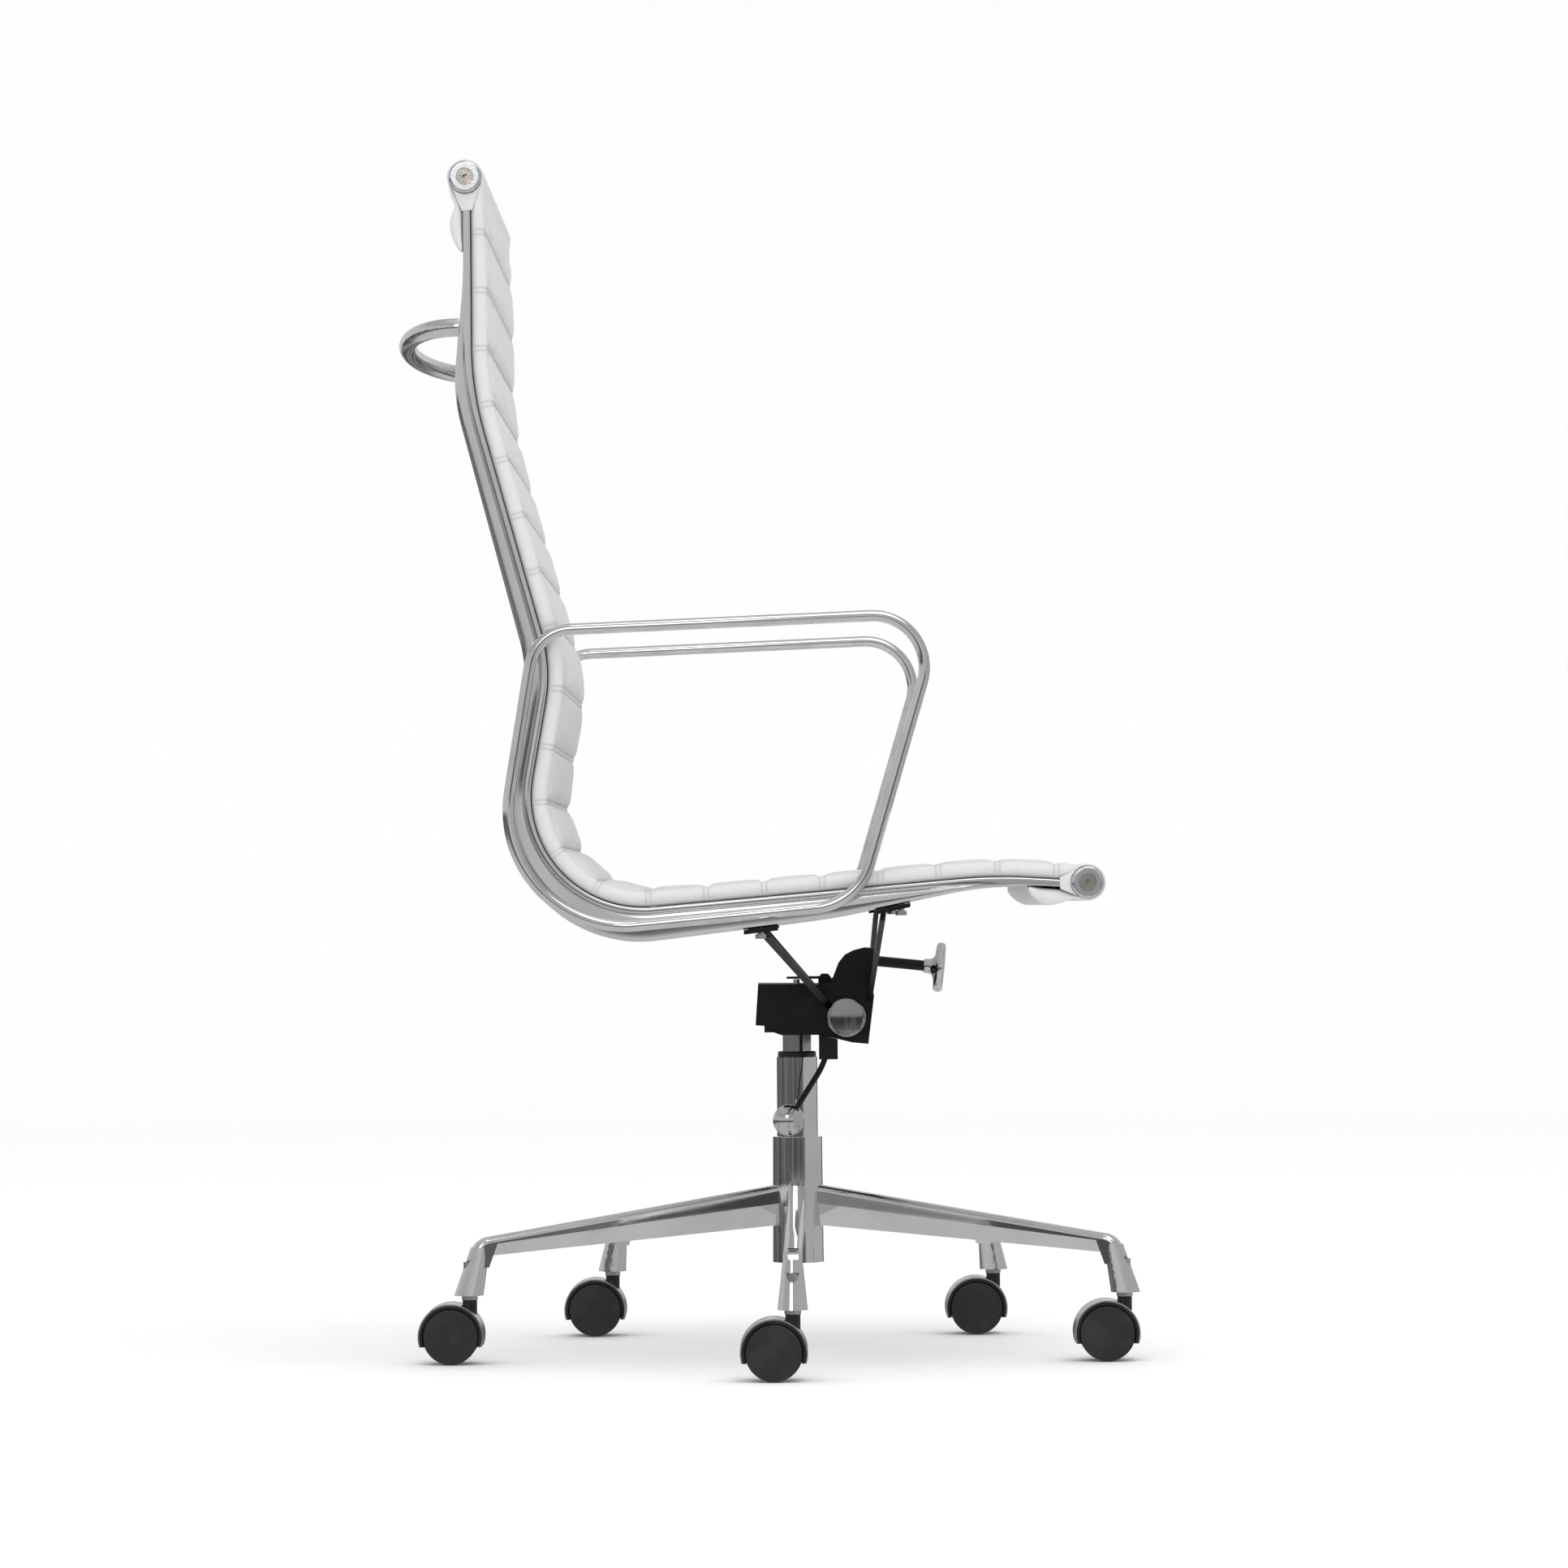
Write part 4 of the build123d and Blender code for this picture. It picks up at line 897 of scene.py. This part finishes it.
# ---------------------------------------------------------------- back panel of the sling
# The same leather behind the padding, one flat skin between the rails, sewn through by the same
# seams. It hides the stretched cloth that carries the sitter.
panel_half_width = 0.2362
panel_edge_radius = 0.0012
panel_face = rail_edge - toward_sitter * (0.0021 + 0.0006 * (1 - (1 - between) ** 2) - 0.7 * groove)[:, None]
panel_back = rail_edge - toward_sitter * 0.0001
panel_rows = (along > 0.030) & (along < line_length - 0.034)
panel_face, panel_back = panel_face[panel_rows], panel_back[panel_rows]
panel_count = len(panel_face)
panel_corners, panel_faces, _, _ = strap(
    panel_face, panel_back, np.full(panel_count, panel_half_width), np.full(panel_count, panel_edge_radius),
    44, 14, 3)
# Painted shade in the panel's stitch grooves, as on the padding.
panel_seam_shade = 0.85 * bell(to_seam[panel_rows] - stitch_from_seam, 0.0008)
panel_shape = panel_corners.reshape(-1, 3)
panel = add_object("leather_back_panel", panel_shape, outward(panel_shape, panel_faces))
seam_shade_mask = panel.data.attributes.new("seam", "FLOAT", "POINT")
seam_shade_mask.data.foreach_set("value", np.repeat(panel_seam_shade, panel_corners.shape[1]).astype(np.float32))
panel_leather = leather("panel_leather", leather_clean, leather_creased, leather_seam_shade, 0.24)
panel.data.materials.append(panel_leather)
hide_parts("sling_membrane")
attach(panel, "seat_frame")

# ---------------------------------------------------------------- stitching
# Polyester thread in lock stitches along both grooves of every seam, each stitch a short
# rounded run that dips into the leather at both ends.
thread_radius = 0.00038
stitch_pitch = 0.0068
stitch_length = 0.0050
stitch_sides = 5
stitched_half_width = 0.240
thread_stand = 0.0003


def stitches(seam_points, seam_normals, half_width):
    """Rows of stitches: each is a tube of stitch_sides corners and five rings along X; ring radius and
    height follow a half sine, so both ends sink into the seam. All stitches are one array."""
    spots = np.arange(-half_width, half_width + 1e-9, stitch_pitch)
    t = np.linspace(0, 1, 5)
    x = (t - 0.5) * stitch_length
    sink = np.sin(t * pi) ** 0.5
    angle = np.arange(stitch_sides) * 2 * pi / stitch_sides
    ring_up = (np.outer(0.35 + 0.65 * sink, np.cos(angle)) + sink[:, None] - 1) * thread_radius
    ring_across = np.outer(0.35 + 0.65 * sink, np.sin(angle)) * thread_radius
    across = np.stack([-seam_normals[:, 1], seam_normals[:, 0]], -1)
    place = (seam_points[:, None, None, :] + ring_up[None, :, :, None] * seam_normals[:, None, None, :]
             + ring_across[None, :, :, None] * across[:, None, None, :])
    seam_count, rings = len(seam_points), len(t)
    shape = np.zeros((seam_count, len(spots), rings, stitch_sides, 3))
    shape[..., 0] = spots[None, :, None, None] + x[None, None, :, None]
    shape[..., 1] = -place[..., 0][:, None]
    shape[..., 2] = place[..., 1][:, None]
    ring, corner = np.meshgrid(np.arange(rings - 1), np.arange(stitch_sides), indexing="ij")
    nxt = (corner + 1) % stitch_sides
    one = np.stack([ring * stitch_sides + corner, (ring + 1) * stitch_sides + corner,
                    (ring + 1) * stitch_sides + nxt, ring * stitch_sides + nxt], -1).reshape(-1, 4)
    many = seam_count * len(spots)
    step = rings * stitch_sides
    sides = (one[None] + (np.arange(many) * step)[:, None, None]).reshape(-1, 4).tolist()
    caps = [[i * step + j for j in range(stitch_sides)] for i in range(many)]
    ends = [[(i + 1) * step - 1 - j for j in range(stitch_sides)] for i in range(many)]
    corners = shape.reshape(-1, 3)
    return corners, outward(corners, sides + caps + ends)


seam_rows = np.concatenate([seams - stitch_from_seam, seams + stitch_from_seam])
seam_edge, seam_out, _, _ = rounded_line(rail_line, rail_bends, seam_rows)
seam_thick = (pad_edge_thickness + pad_extra_thickness * eased(seam_rows, pad_start, pad_start + pad_taper)
              - welt(stitch_from_seam))
thread_line = seam_edge + seam_out * (seam_thick + thread_stand)[:, None]
threads = add_object("seam_stitches", *stitches(thread_line, seam_out, stitched_half_width))
made, tree, shader = new_material("white_thread")
twist = tree.nodes.new("ShaderNodeTexWave")
twist.inputs["Scale"].default_value = 900.0
twist.bands_direction = "DIAGONAL"
spot = tree.nodes.new("ShaderNodeTexCoord")
link(tree, spot.outputs["Object"], twist.inputs["Vector"])
tones = ramp(tree, [(0.0, 0.58), (1.0, 0.80)])
link(tree, twist.outputs["Fac"], tones.inputs[0])
link(tree, tones.outputs[0], shader.inputs["Base Color"])
shader.inputs["Roughness"].default_value = 0.55
threads.data.materials.append(made)
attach(threads, "seat_frame")
